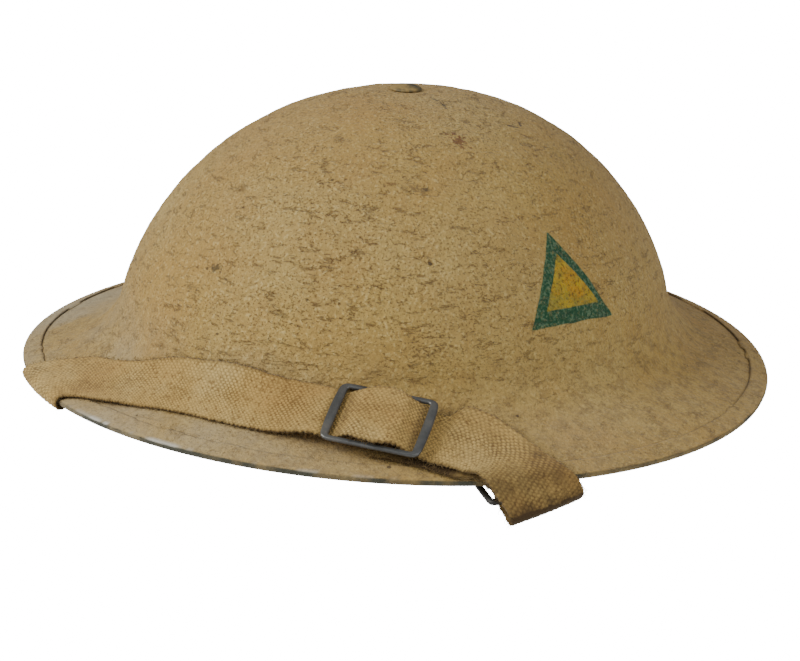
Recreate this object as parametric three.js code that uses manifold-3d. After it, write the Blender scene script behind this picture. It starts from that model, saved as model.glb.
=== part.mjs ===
// A wide-brimmed shallow-bowl steel helmet with a webbing chin strap stowed over the front of its brim.
// Millimetres, +Z up, front towards -Y, the wearer's left towards +X.
// The origin is the centre of the head opening, where the bowl meets the brim.

import * as THREE from 'three';
import { mergeVertices } from 'three/addons/utils/BufferGeometryUtils.js';
import Module from 'manifold-3d';

const wasm = await Module();
wasm.setup();

const rad = THREE.MathUtils.degToRad;
const vec = (x, y, z) => new THREE.Vector3(x, y, z);

// Driving dimensions of the shell
const rimHalfWidth = 153;
const rimHalfLength = 154;
const bowlHalfWidth = 107.6;
const bowlHalfLength = 121;
const bowlPlanPower = 2.05;
const crownHeight = 108.3;
const bowlCentreHeight = 13.3;
const bowlRadialPower = 2.16;
const bowlRisePower = 1.71;
const brimSlope = 19.6;
const saddleDip = 1.86;
const flareRise = 13.7;
const flareRun = 16;
const shellWall = 1;
const clearance = 0.3;

// Driving dimensions of the rim binding and the crown screw
const bindingWidth = 7.2;
const bindingSheet = 0.5;
const bindingRound = 0.48;
const screwHeadRadius = 6.5;
const screwHeadHeight = 2;
const screwShankRadius = 2.4;
const screwNutRadius = 6;
const screwNutHeight = 3.5;

// Driving dimensions of the chin strap and its metal
const strapWidth = 24.8;
const strapThickness = 1.5;
const buckleLength = 36;
const buckleWindow = 25.6;
const buckleBar = 2.6;
const buckleSideBar = 2.1;
const buckleThickness = 1.6;
const buckleRest = 0.66;
const ringBar = 2.4;
const ringThickness = 2;
const ringLength = 16.6;
const lugThickness = 1.6;
const lugBar = 3;
const lugPlateLength = 16;
const lugSlot = 5;
const lugHeight = 36;
const lugStandOff = 4.6;
const lugBossRadius = 4;

// Mesh fineness
const turnSteps = 64;
const domeRings = 14;
const flareRings = 4;
const brimRings = 3;
const headSteps = 20;
const strapLanes = 3;
const stepsPerRow = 3;
const bossSteps = 16;

const material = (color, roughness, metalness) => (
  new THREE.MeshStandardMaterial({ color, roughness, metalness })
);
const sandPaint = material(0xb8935a, 0.85, 0);
const webbing = material(0xa98a55, 0.95, 0);
const darkSteel = material(0x4c4e50, 0.45, 0.9);
const helmet = new THREE.Group();

function place(name, geometry, surface) {
  const mesh = new THREE.Mesh(geometry, surface);
  mesh.name = name;
  helmet.add(mesh);
  return mesh;
}

// Plan outlines, as radii at an angle from the wearer's left
function planRadius(turn, halfWidth, halfLength, power) {
  const c = Math.abs(Math.cos(turn)) / halfWidth;
  const s = Math.abs(Math.sin(turn)) / halfLength;
  return (c ** power + s ** power) ** (-1 / power);
}
const bindingBuild = bindingSheet + clearance;
const rimRadius = (turn) => (
  planRadius(turn, rimHalfWidth - bindingBuild, rimHalfLength - bindingBuild, 2)
);
const bowlRadius = (turn) => planRadius(turn, bowlHalfWidth, bowlHalfLength, bowlPlanPower);
const rimHeight = (turn) => -bindingBuild - saddleDip * Math.cos(2 * turn);
const brimRise = Math.tan(rad(brimSlope));

// The bowl's height at a radius, and the flare that joins it to the brim
function bowlRise(turn, radius) {
  const share = Math.min(radius / bowlRadius(turn), 1);
  const angle = Math.asin(share ** (bowlRadialPower / 2));
  return bowlCentreHeight + (crownHeight - bowlCentreHeight) * Math.cos(angle) ** (2 / bowlRisePower);
}
function bowlRadiusAt(turn, height) {
  const share = (height - bowlCentreHeight) / (crownHeight - bowlCentreHeight);
  const angle = Math.acos(THREE.MathUtils.clamp(share, 0, 1) ** (bowlRisePower / 2));
  return bowlRadius(turn) * Math.sin(angle) ** (2 / bowlRadialPower);
}
function flareAt(turn) {
  const rim = rimRadius(turn);
  const foot = bowlRadius(turn) + flareRun;
  const footHeight = rimHeight(turn) + (rim - foot) * brimRise;
  const topHeight = rimHeight(turn) + (rim - bowlRadius(turn)) * brimRise + flareRise;
  const top = bowlRadiusAt(turn, topHeight);
  const step = 0.05;
  const wallSlope = (bowlRise(turn, top) - bowlRise(turn, top - step)) / step;
  const bend = (footHeight - topHeight + brimRise * foot + wallSlope * top) / (wallSlope + brimRise);
  const bendHeight = footHeight - brimRise * (bend - foot);
  return { rim, foot, footHeight, top, topHeight, bend, bendHeight };
}
function flarePoint(flare, share) {
  const a = (1 - share) ** 2;
  const b = 2 * share * (1 - share);
  const c = share ** 2;
  return [
    a * flare.top + b * flare.bend + c * flare.foot,
    a * flare.topHeight + b * flare.bendHeight + c * flare.footHeight,
  ];
}

// Height of the outer face at a radius, on the bowl, the flare or the brim
function outerHeight(turn, radius) {
  const flare = flareAt(turn);
  if (radius <= flare.top) return bowlRise(turn, radius);
  if (radius >= flare.foot) return rimHeight(turn) + (flare.rim - radius) * brimRise;
  const a = flare.top - 2 * flare.bend + flare.foot;
  const b = 2 * (flare.bend - flare.top);
  const c = flare.top - radius;
  const share = Math.abs(a) < 1e-6 ? -c / b : (-b + Math.sqrt(b * b - 4 * a * c)) / (2 * a);
  return flarePoint(flare, share)[1];
}
function polar(turn, radius, height) {
  return vec(radius * Math.cos(turn), radius * Math.sin(turn), height);
}

// A point at a distance in from the rim, lifted off the outer face (or below it when negative)
function offBrim(turn, inset, lift) {
  const radius = rimRadius(turn) - inset;
  const step = 0.5;
  const slope = (outerHeight(turn, radius + step) - outerHeight(turn, radius - step)) / (2 * step);
  const length = Math.hypot(slope, 1);
  return polar(turn, radius - (slope / length) * lift, outerHeight(turn, radius) + lift / length);
}

// Profile of the shell's outer face at one angle, from the crown hole to the rim
const holeRadius = screwShankRadius + clearance;
function outerProfile(turn) {
  const flare = flareAt(turn);
  const points = [[holeRadius, bowlRise(turn, holeRadius)]];
  const topAngle = Math.asin((flare.top / bowlRadius(turn)) ** (bowlRadialPower / 2));
  for (let i = 1; i <= domeRings; i += 1) {
    const radius = bowlRadius(turn) * Math.sin((topAngle * i) / domeRings) ** (2 / bowlRadialPower);
    points.push([radius, bowlRise(turn, radius)]);
  }
  for (let i = 1; i <= flareRings; i += 1) points.push(flarePoint(flare, i / flareRings));
  for (let i = 1; i <= brimRings; i += 1) {
    const radius = THREE.MathUtils.lerp(flare.foot, flare.rim, i / brimRings);
    points.push([radius, rimHeight(turn) + (flare.rim - radius) * brimRise]);
  }
  return points;
}
function inward(points, distance) {
  return points.map(([radius, height], i) => {
    const before = points[Math.max(i - 1, 0)];
    const after = points[Math.min(i + 1, points.length - 1)];
    const run = after[0] - before[0];
    const rise = after[1] - before[1];
    const length = Math.hypot(run, rise);
    return [i === 0 ? radius : radius + (rise / length) * distance, height - (run / length) * distance];
  });
}

// A ring-shaped solid from one closed section for each angle round the helmet
function ringSolid(sectionAt) {
  const positions = [];
  const index = [];
  const count = sectionAt(0).length;
  for (let i = 0; i < turnSteps; i += 1) {
    const turn = (2 * Math.PI * i) / turnSteps;
    for (const [radius, height] of sectionAt(turn)) {
      positions.push(...polar(turn, radius, height).toArray());
    }
    const next = (i + 1) % turnSteps;
    for (let j = 0; j < count; j += 1) {
      const up = (j + 1) % count;
      const [a, b, c, d] = [i * count + j, next * count + j, next * count + up, i * count + up];
      index.push(a, c, b, a, d, c);
    }
  }
  const geometry = new THREE.BufferGeometry();
  geometry.setAttribute('position', new THREE.Float32BufferAttribute(positions, 3));
  geometry.setIndex(index);
  geometry.computeVertexNormals();
  return geometry;
}

function shellSection(turn) {
  const outer = outerProfile(turn);
  return [...outer, ...inward(outer, shellWall).reverse()];
}

// The rim binding: a strip folded round the shell's edge, open towards the bowl
function bindingSection(turn) {
  const slope = rad(brimSlope);
  const along = [-Math.cos(slope), Math.sin(slope)];
  const up = [Math.sin(slope), Math.cos(slope)];
  const at = (inset, lift) => [
    rimRadius(turn) + along[0] * inset + up[0] * lift,
    rimHeight(turn) + along[1] * inset + up[1] * lift,
  ];
  const bottom = -shellWall - clearance;
  return [
    at(bindingWidth, clearance),
    at(bindingWidth, bindingBuild),
    at(bindingRound - bindingBuild, bindingBuild),
    at(-bindingBuild, bindingBuild - bindingRound),
    at(-bindingBuild, bottom - bindingSheet + bindingRound),
    at(bindingRound - bindingBuild, bottom - bindingSheet),
    at(bindingWidth, bottom - bindingSheet),
    at(bindingWidth, bottom),
    at(-clearance, bottom),
    at(-clearance, clearance),
  ];
}

// A closed mesh as a manifold solid, and back
function solidOf(geometry) {
  const bare = geometry.clone();
  bare.deleteAttribute('normal');
  bare.deleteAttribute('uv');
  const merged = mergeVertices(bare, 1e-4);
  const triVerts = new Uint32Array(merged.index.array);
  const vertProperties = new Float32Array(merged.attributes.position.array);
  return new wasm.Manifold(new wasm.Mesh({ numProp: 3, vertProperties, triVerts }));
}
function geometryOf(solid) {
  const mesh = solid.getMesh();
  const geometry = new THREE.BufferGeometry();
  geometry.setAttribute('position', new THREE.BufferAttribute(new Float32Array(mesh.vertProperties), 3));
  geometry.setIndex(Array.from(mesh.triVerts));
  geometry.computeVertexNormals();
  return geometry;
}

// The crown screw: a low round head outside, a shank through the shell and a plain nut inside;
// the head's edge follows the crown down and its top is domed by shares of its radius and height
function screwGeometry() {
  const headUnder = bowlRise(0, holeRadius) + clearance;
  const headEdge = bowlRise(0, screwHeadRadius) + clearance;
  const headTop = headUnder + screwHeadHeight;
  const nutTop = bowlRise(0, holeRadius) - 2 * shellWall - clearance;
  const nutBottom = nutTop - screwNutHeight;
  const profile = [
    [0, nutBottom],
    [screwNutRadius, nutBottom],
    [screwNutRadius, nutTop],
    [screwShankRadius, nutTop],
    [screwShankRadius, headUnder],
    [screwHeadRadius, headEdge],
    [screwHeadRadius, headEdge + shellWall / 2],
    [screwHeadRadius * 0.75, headUnder + screwHeadHeight * 0.75],
    [screwHeadRadius * 0.4, headTop],
    [0, headTop],
  ].map(([x, y]) => new THREE.Vector2(x, y));
  const geometry = new THREE.LatheGeometry(profile, headSteps);
  geometry.rotateX(Math.PI / 2);
  return geometry;
}

// A flat band lofted along rows of points that each run from its upper to its lower edge
function bandGeometry(rows) {
  const lanes = rows[0].map((_, j) => {
    const points = rows.map((row) => row[j]);
    return new THREE.CatmullRomCurve3(points, false, 'centripetal');
  });
  const steps = (rows.length - 1) * stepsPerRow;
  const stationAt = (i) => lanes.map((lane) => lane.getPoint(i / steps));
  const stations = Array.from({ length: steps + 1 }, (_, i) => stationAt(i));
  const count = lanes.length;
  const middle = (station) => station[0].clone().add(station[count - 1]).multiplyScalar(0.5);
  const positions = [];
  stations.forEach((station, i) => {
    const before = stations[Math.max(i - 1, 0)];
    const after = stations[Math.min(i + 1, steps)];
    const offsets = station.map((_, j) => {
      const lower = station[Math.min(j + 1, count - 1)];
      const across = station[Math.max(j - 1, 0)].clone().sub(lower);
      return after[j].clone().sub(before[j]).cross(across).normalize().multiplyScalar(strapThickness / 2);
    });
    station.forEach((point, j) => positions.push(...point.clone().add(offsets[j]).toArray()));
    for (let j = count - 1; j >= 0; j -= 1) {
      positions.push(...station[j].clone().sub(offsets[j]).toArray());
    }
  });
  const ring = 2 * count;
  const index = [];
  for (let i = 0; i < steps; i += 1) {
    for (let j = 0; j < ring; j += 1) {
      const [a, b] = [i * ring + j, i * ring + ((j + 1) % ring)];
      index.push(a, b + ring, a + ring, a, b, b + ring);
    }
  }
  const last = steps * ring;
  for (let j = 0; j < count - 1; j += 1) {
    const [a, b, c, d] = [j, j + 1, ring - 2 - j, ring - 1 - j];
    index.push(a, c, b, a, d, c, last + a, last + b, last + c, last + a, last + c, last + d);
  }
  const geometry = new THREE.BufferGeometry();
  geometry.setAttribute('position', new THREE.Float32BufferAttribute(positions, 3));
  geometry.setIndex(index);
  geometry.computeVertexNormals();
  const centres = stations.map(middle);
  const spans = centres.slice(1).map((point, i) => point.distanceTo(centres[i]));
  geometry.userData.length = spans.reduce((sum, span) => sum + span, 0);
  return geometry;
}

// A rounded rectangle frame with one or more windows, lying in its XY plane;
// its bevel and corners are shares of its bar
function roundedRectangle(target, width, height, radius, centreX) {
  const [x, y] = [width / 2, height / 2];
  target.moveTo(centreX - x + radius, -y);
  target.lineTo(centreX + x - radius, -y);
  target.quadraticCurveTo(centreX + x, -y, centreX + x, -y + radius);
  target.lineTo(centreX + x, y - radius);
  target.quadraticCurveTo(centreX + x, y, centreX + x - radius, y);
  target.lineTo(centreX - x + radius, y);
  target.quadraticCurveTo(centreX - x, y, centreX - x, y - radius);
  target.lineTo(centreX - x, -y + radius);
  target.quadraticCurveTo(centreX - x, -y, centreX - x + radius, -y);
  return target;
}
const bevelShare = 0.25;
const outerCorner = 1.2;
const windowCorner = 0.4;
function extruded(shape, thickness, bar) {
  const bevel = Math.min(bar, thickness) * bevelShare;
  return new THREE.ExtrudeGeometry(shape, {
    depth: thickness - 2 * bevel,
    bevelThickness: bevel,
    bevelSize: bevel,
    bevelOffset: -bevel,
    bevelSegments: 1,
    curveSegments: 3,
  }).translate(0, 0, bevel - thickness / 2);
}
function frameGeometry(length, window, bar, sideBar, thickness, windows) {
  const shape = roundedRectangle(new THREE.Shape(), length, window + 2 * sideBar, bar * outerCorner, 0);
  const hole = (length - (windows + 1) * bar) / windows;
  for (let i = 0; i < windows; i += 1) {
    const centre = -length / 2 + bar + hole / 2 + i * (hole + bar);
    shape.holes.push(roundedRectangle(new THREE.Path(), hole, window, bar * windowCorner, centre));
  }
  return extruded(shape, thickness, bar);
}

// Sets a mesh at a point with its X along one direction and its Z near another
function orient(mesh, position, along, normal) {
  const x = along.clone().normalize();
  const z = normal.clone().addScaledVector(x, -normal.dot(x)).normalize();
  const y = z.clone().cross(x);
  mesh.quaternion.setFromRotationMatrix(new THREE.Matrix4().makeBasis(x, y, z));
  mesh.position.copy(position);
}

// Rows across the strap: straight between two points, or lifted off the brim. A strap over the binding
// comes down to the paint only where it's past the binding's reach
const lanesOf = (make) => Array.from({ length: strapLanes + 1 }, (_, j) => make(j / strapLanes));
const straightRow = (upper, lower) => lanesOf((share) => upper.clone().lerp(lower, share));
const brimWidth = (turn) => rimRadius(turn) - bowlRadius(turn);
const restLift = clearance + strapThickness / 2;
const overBinding = bindingBuild + restLift;
const layer = strapThickness + clearance;
const bindingReach = 1.5 * bindingWidth;
const wallRoom = 3 * layer;
const mix = THREE.MathUtils.lerp;

// Angles are in degrees from the wearer's left, insets are shares of the brim's width there,
// lift is in layers of strap and cup is how far the row follows the hollow of the flare
function brimRow({ upperTurn, upperInset, lowerTurn, lowerInset, lift, cup }) {
  const upper = upperInset * brimWidth(rad(upperTurn));
  const lower = lowerInset * brimWidth(rad(lowerTurn));
  const at = (share) => {
    const inset = mix(upper, lower, share);
    const base = inset < bindingReach ? overBinding : restLift;
    return offBrim(rad(mix(upperTurn, lowerTurn, share)), inset, base + lift * layer);
  };
  const straight = straightRow(at(0), at(1));
  return straight.map((point, j) => point.lerp(at(j / strapLanes), cup));
}
const leftRun = [
  { upperTurn: -121, upperInset: 0.285, lowerTurn: -105.4, lowerInset: 0.111, lift: 0.1, cup: 1 },
  { upperTurn: -115.5, upperInset: 0.665, lowerTurn: -101.5, lowerInset: 0.209, lift: 0.1, cup: 1 },
  { upperTurn: -109, upperInset: 0.793, lowerTurn: -98.5, lowerInset: 0.281, lift: 0, cup: 1 },
  { upperTurn: -102, upperInset: 0.907, lowerTurn: -95, lowerInset: 0.366, lift: 0, cup: 0.8 },
  { upperTurn: -95, upperInset: 1, lowerTurn: -90.5, lowerInset: 0.451, lift: 0, cup: 0.6 },
  { upperTurn: -88.5, upperInset: 1.029, lowerTurn: -85.5, lowerInset: 0.493, lift: 0, cup: 0.5 },
  { upperTurn: -80, upperInset: 1.043, lowerTurn: -79, lowerInset: 0.503, lift: 0, cup: 0.5 },
  { upperTurn: -71, upperInset: 1.019, lowerTurn: -71.5, lowerInset: 0.466, lift: 0.5, cup: 0.2 },
];
const rightRun = [
  { upperTurn: -39.5, upperInset: 0.856, lowerTurn: -46.3, lowerInset: 0.115, lift: 1.3, cup: 0 },
  { upperTurn: -35, upperInset: 0.745, lowerTurn: -44.1, lowerInset: 0.063, lift: 1.2, cup: 0.2 },
  { upperTurn: -32.2, upperInset: 0.512, lowerTurn: -42.4, lowerInset: 0.005, lift: 1.2, cup: 0.6 },
];
const returnRun = [
  { upperTurn: -33, upperInset: 0.223, lowerTurn: -43.6, lowerInset: 0, lift: 0, cup: 1 },
  { upperTurn: -37, upperInset: 0.479, lowerTurn: -46, lowerInset: 0.072, lift: 0, cup: 1 },
  { upperTurn: -42, upperInset: 0.68, lowerTurn: -49, lowerInset: 0.159, lift: 0, cup: 1 },
  { upperTurn: -47, upperInset: 0.773, lowerTurn: -52.5, lowerInset: 0.237, lift: 0, cup: 1 },
  { upperTurn: -51.5, upperInset: 0.843, lowerTurn: -56, lowerInset: 0.28, lift: 0, cup: 1 },
];

// Points round the rim's edge, from above it (lean 0) through outside it (90) to below it (180)
function roundRim(turn, lean) {
  const slope = rad(brimSlope);
  const half = shellWall / 2;
  const radius = half + overBinding;
  const tilt = slope + rad(lean);
  const centre = [rimRadius(turn) - half * Math.sin(slope), rimHeight(turn) - half * Math.cos(slope)];
  return polar(turn, centre[0] + radius * Math.sin(tilt), centre[1] + radius * Math.cos(tilt));
}
const wrap = { upperTurn: -123.5, lowerTurn: -107.5, leans: [180, 140, 95, 50, 0] };
const wrapTurn = (share) => rad(mix(wrap.upperTurn, wrap.lowerTurn, share));
const wrapRow = (lean) => lanesOf((share) => roundRim(wrapTurn(share), lean));

// The buckle lies over the strap at the middle of the front quarter, its lower edge at a share of
// the brim's width in from the rim and its upper edge further in by a share of its own height
const buckleSeat = { upperTurn: -53, lowerTurn: -55.2, lowerInset: 0.298, rise: 0.784 };
const frameLift = 2 * layer + buckleRest + buckleThickness / 2;
const buckleHeight = buckleWindow + 2 * buckleSideBar;
const seatInset = buckleSeat.lowerInset * brimWidth(rad(buckleSeat.lowerTurn));
const seatLower = offBrim(rad(buckleSeat.lowerTurn), seatInset, frameLift + layer);
const upperInset = seatInset + buckleSeat.rise * buckleHeight;
const seatUpper = offBrim(rad(buckleSeat.upperTurn), upperInset, frameLift);
const seatMiddle = seatUpper.clone().add(seatLower).multiplyScalar(0.5);
const seatTurn = rad((buckleSeat.upperTurn + buckleSeat.lowerTurn) / 2);
const seatAcross = seatUpper.clone().sub(seatLower).normalize();
const tangentAtSeat = vec(-Math.sin(seatTurn), Math.cos(seatTurn), 0);
const seatAlong = tangentAtSeat.addScaledVector(seatAcross, -tangentAtSeat.dot(seatAcross)).normalize();
const seatNormal = seatAlong.clone().cross(seatAcross);
const bucklePoint = (along, across, height) => seatMiddle.clone()
  .addScaledVector(seatAlong, along)
  .addScaledVector(seatAcross, across)
  .addScaledVector(seatNormal, height);
const barPass = buckleThickness / 2 + restLift;
const buckleRow = (along, height, upperShift, lowerShift) => straightRow(
  bucklePoint(along, upperShift + strapWidth / 2, height),
  bucklePoint(along, lowerShift - strapWidth / 2, height),
);

// Under one end bar, over the middle bar and the upper side bar, and under the other end bar: each
// row's share of the buckle's length, of the lift over a bar, and of the side bar's width for the
// upper and the lower edge
const threading = [
  [-0.6, -0.6, 0, 0],
  [-0.43, -1, 0, 0],
  [-0.3, 0.2, 0, 0],
  [-0.21, 1.15, 0.2, -0.2],
  [-0.1, 1.2, 1.1, -0.6],
  [0.1, 1.2, 1.1, -0.6],
  [0.21, 1.15, 0.2, -0.2],
  [0.3, 0.2, 0, 0],
  [0.43, -1, 0, 0],
  [0.6, -2.1, 0, 0],
].map(([along, height, upperShift, lowerShift]) => buckleRow(
  along * buckleLength,
  height * barPass,
  upperShift * buckleSideBar,
  lowerShift * buckleSideBar,
));

// The fold that hangs past the rim and comes back over it: each row's turn in degrees and its shares
// of the strap's width out from and up from the rim, for the upper and then the lower edge
const fold = [
  [-29.6, -0.226, 0.242, -41.2, 0.073, 0.157],
  [-28.4, 0.020, 0.165, -40.0, 0.165, 0.081],
  [-27.4, 0.161, 0.077, -38.9, 0.254, -0.089],
  [-26.8, 0.258, -0.065, -37.8, 0.363, -0.270],
  [-26.6, 0.282, -0.169, -37.0, 0.444, -0.456],
  [-26.9, 0.177, -0.274, -37.0, 0.363, -0.524],
  [-27.3, 0.073, -0.238, -37.5, 0.202, -0.419],
  [-27.8, 0.073, -0.137, -38.3, 0.105, -0.242],
  [-28.5, 0.079, -0.024, -39.0, 0.081, -0.097],
  [-29.2, 0.050, 0.065, -40.0, 0.081, 0.020],
  [-30.4, -0.129, 0.125, -41.4, 0.032, 0.073],
];
const byRim = (turn, out, up) => polar(
  rad(turn),
  rimRadius(rad(turn)) + out * strapWidth,
  rimHeight(rad(turn)) + up * strapWidth,
);
const foldRow = ([
  upperTurn, upperOut, upperUp, lowerTurn, lowerOut, lowerUp,
]) => lanesOf((share) => byRim(
  mix(upperTurn, lowerTurn, share),
  mix(upperOut, lowerOut, share),
  mix(upperUp, lowerUp, share),
));

// Strap lugs inside the bowl, one on each side; the strap pulls each towards its own rim crossing
const lugLength = lugPlateLength + lugSlot + lugBar;
const lugRise = 27;
function lugFrame(side, target) {
  const turn = side > 0 ? 0 : Math.PI;
  const wall = bowlRadiusAt(turn, lugRise + lugHeight / 3) - shellWall;
  const radius = wall - lugStandOff - lugThickness / 2;
  const centre = vec(side * radius, 0, lugRise);
  const inwardNormal = vec(-side, 0, 0);
  const along = target.clone().sub(centre).setX(0).normalize();
  const across = inwardNormal.clone().cross(along);
  return { centre, along, across, inwardNormal };
}
function lugGeometry() {
  const shape = roundedRectangle(new THREE.Shape(), lugLength, lugHeight, lugBar, 0);
  const slotCentre = lugLength / 2 - lugBar - lugSlot / 2;
  const slotWidth = strapWidth + 4 * clearance;
  const slotCorner = lugBar * windowCorner;
  shape.holes.push(roundedRectangle(new THREE.Path(), lugSlot, slotWidth, slotCorner, slotCentre));
  const plate = solidOf(extruded(shape, lugThickness, lugBar));
  const bossLength = lugStandOff + lugThickness / 2 - clearance;
  const boss = new THREE.CylinderGeometry(lugBossRadius, lugBossRadius, bossLength, bossSteps);
  boss.rotateX(Math.PI / 2);
  boss.translate(-lugLength / 2 + lugPlateLength / 2, 0, -bossLength / 2);
  return geometryOf(plate.add(solidOf(boss)));
}

// A strap end that turns round a bar and lies back along itself; the tail's rows are shares of its
// length and of a layer of strap
const tail = [[1, -0.5], [0.4, -0.7]];
function loopedEnd(bar, along, across, normal, reach, tailLength) {
  const at = (run, height) => straightRow(
    bar.clone().addScaledVector(across, strapWidth / 2),
    bar.clone().addScaledVector(across, -strapWidth / 2),
  ).map((point) => point.addScaledVector(along, run).addScaledVector(normal, height));
  const turnRows = [-90, -45, 0, 45, 90].map((lean) => at(
    -Math.cos(rad(lean)) * reach,
    Math.sin(rad(lean)) * reach,
  ));
  return [...tail.map(([run, height]) => at(run * tailLength, height * layer)), ...turnRows];
}

// How far a point may rise before the strap there comes within a layer of the brim or of the flare
// beside it
function roomAbove(point) {
  const turn = Math.atan2(point.y, point.x);
  const radius = Math.hypot(point.x, point.y);
  if (radius < bowlRadius(turn) - 2 * wallRoom) return Infinity;
  return outerHeight(turn, radius + wallRoom) - shellWall - 2 * layer - point.z;
}

// The leg of a strap from a bar to a lug or a rim crossing, kept below the brim and turning on its way
function legRow(from, to, share, turnShare) {
  const centre = from.point.clone().lerp(to.point, share);
  const across = from.across.clone().lerp(to.across, turnShare);
  across.normalize().multiplyScalar(strapWidth / 2);
  const row = straightRow(centre.clone().add(across), centre.clone().sub(across));
  const drop = Math.min(0, ...row.map(roomAbove));
  return row.map((point) => point.setZ(point.z + drop));
}
const lugReach = lugBar / 2 + restLift;
const lugTail = 0.8 * strapWidth;
function lugEnd(lug, across) {
  const bar = lug.centre.clone().addScaledVector(lug.along, lugLength / 2 - lugBar / 2);
  const rows = loopedEnd(bar, lug.along, across, lug.inwardNormal, lugReach, lugTail);
  return { rows, point: bar.clone().addScaledVector(lug.inwardNormal, lugReach), across };
}

const underRim = wrapRow(180);
const underMiddle = underRim[0].clone().add(underRim[strapLanes]).multiplyScalar(0.5);
const rightLug = lugFrame(-1, underMiddle);
const rightEnd = lugEnd(rightLug, rightLug.across.clone().negate());
const underAcross = underRim[0].clone().sub(underRim[strapLanes]).normalize();
const legDirection = underMiddle.clone().sub(rightEnd.point).normalize();
const squareAcross = underAcross.addScaledVector(legDirection, -underAcross.dot(legDirection));
squareAcross.normalize();
const rimEnd = { point: underMiddle, across: squareAcross };
const strapRows = [
  ...rightEnd.rows,
  legRow(rightEnd, rimEnd, 0.25, 0.15),
  legRow(rightEnd, rimEnd, 0.45, 0.5),
  legRow(rightEnd, rimEnd, 0.65, 0.85),
  legRow(rightEnd, rimEnd, 0.82, 1),
  ...wrap.leans.map(wrapRow),
  ...leftRun.map(brimRow),
  ...threading,
  ...rightRun.map(brimRow),
  ...fold.map(foldRow),
  ...returnRun.map(brimRow),
];

// The steel ring that the fold holds, nearly level under the rim, and the short tab that ties it to
// the left lug
const ringRise = 0.15;
const ringSeat = {
  upper: byRim(-28, 0.192, -0.157),
  lower: byRim(-38.4, 0.228, -0.226),
};
const ringAcross = ringSeat.upper.clone().sub(ringSeat.lower).normalize();
const ringBarCentre = ringSeat.upper.clone().add(ringSeat.lower).multiplyScalar(0.5);
const ringInward = ringBarCentre.clone().setZ(0).normalize().negate().setZ(ringRise);
ringInward.addScaledVector(ringAcross, -ringInward.dot(ringAcross)).normalize();
const ringWindow = ringSeat.upper.distanceTo(ringSeat.lower) + 6 * clearance;
const ringSpan = ringLength - ringBar;
const ringCentre = ringBarCentre.clone().addScaledVector(ringInward, ringSpan / 2);
const tabBar = ringBarCentre.clone().addScaledVector(ringInward, ringSpan);
const ringNormal = ringInward.clone().negate().cross(ringAcross).normalize();
const leftLug = lugFrame(1, tabBar);
const ringReach = Math.hypot(ringBar, ringThickness) / 2 + restLift;
const tabDirection = leftLug.centre.clone().sub(tabBar);
tabDirection.addScaledVector(ringAcross, -tabDirection.dot(ringAcross)).normalize();
const tabNormal = tabDirection.clone().cross(ringAcross).normalize();
if (tabNormal.z < 0) tabNormal.negate();
const tabRing = {
  rows: loopedEnd(tabBar, tabDirection, ringAcross, tabNormal, ringReach, lugTail),
  point: tabBar.clone().addScaledVector(tabNormal, ringReach),
  across: ringAcross,
};
const leftAcross = leftLug.across.clone().multiplyScalar(Math.sign(leftLug.across.dot(ringAcross)));
const leftEnd = lugEnd(leftLug, leftAcross);
const tabRows = [
  ...tabRing.rows,
  legRow(tabRing, leftEnd, 0.2, 0),
  legRow(tabRing, leftEnd, 0.38, 0.1),
  legRow(tabRing, leftEnd, 0.54, 0.25),
  legRow(tabRing, leftEnd, 0.74, 0.7),
  ...leftEnd.rows.slice().reverse(),
];

place('shell', ringSolid(shellSection), sandPaint);
place('rim_binding', ringSolid(bindingSection), sandPaint);
place('crown_screw', screwGeometry(), darkSteel);
place('strap', bandGeometry(strapRows), webbing);
const buckle = place(
  'buckle',
  frameGeometry(buckleLength, buckleWindow, buckleBar, buckleSideBar, buckleThickness, 2),
  darkSteel,
);
orient(buckle, seatMiddle, seatAlong, seatNormal);
const ring = place(
  'strap_ring',
  frameGeometry(ringLength, ringWindow, ringBar, ringBar, ringThickness, 1),
  darkSteel,
);
orient(ring, ringCentre, ringInward.clone().negate(), ringNormal);
place('strap_tab', bandGeometry(tabRows), webbing);
for (const [name, lug] of [['lug_right', rightLug], ['lug_left', leftLug]]) {
  orient(place(name, lugGeometry(), darkSteel), lug.centre, lug.along, lug.inwardNormal);
}

// The head sits in the bowl's mouth, where the brim's slope meets the bowl
const mouthHeight = 14;
helmet.position.z = -mouthHeight;

export default helmet;
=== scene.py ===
import math
from functools import partial

import bmesh
import bpy
import numpy as np
from mathutils import Matrix, Vector, noise


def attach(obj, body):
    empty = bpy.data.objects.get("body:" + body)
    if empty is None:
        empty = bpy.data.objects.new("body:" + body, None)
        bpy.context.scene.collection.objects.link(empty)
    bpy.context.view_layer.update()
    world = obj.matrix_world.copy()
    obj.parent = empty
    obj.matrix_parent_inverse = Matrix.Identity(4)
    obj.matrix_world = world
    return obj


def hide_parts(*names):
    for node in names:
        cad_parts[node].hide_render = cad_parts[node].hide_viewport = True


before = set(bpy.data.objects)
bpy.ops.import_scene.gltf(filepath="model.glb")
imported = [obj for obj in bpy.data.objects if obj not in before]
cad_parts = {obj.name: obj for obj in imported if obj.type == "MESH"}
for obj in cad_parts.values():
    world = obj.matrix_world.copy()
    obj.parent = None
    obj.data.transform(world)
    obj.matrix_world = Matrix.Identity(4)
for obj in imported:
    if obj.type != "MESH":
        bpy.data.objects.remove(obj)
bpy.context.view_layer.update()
print("frame loaded")

mm = 0.001


def linear(hexColour):
    channels = [int(hexColour[i:i + 2], 16) / 255 for i in (1, 3, 5)]
    return tuple(c / 12.92 if c <= 0.04045 else ((c + 0.055) / 1.055) ** 2.4 for c in channels) + (1.0,)


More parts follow.
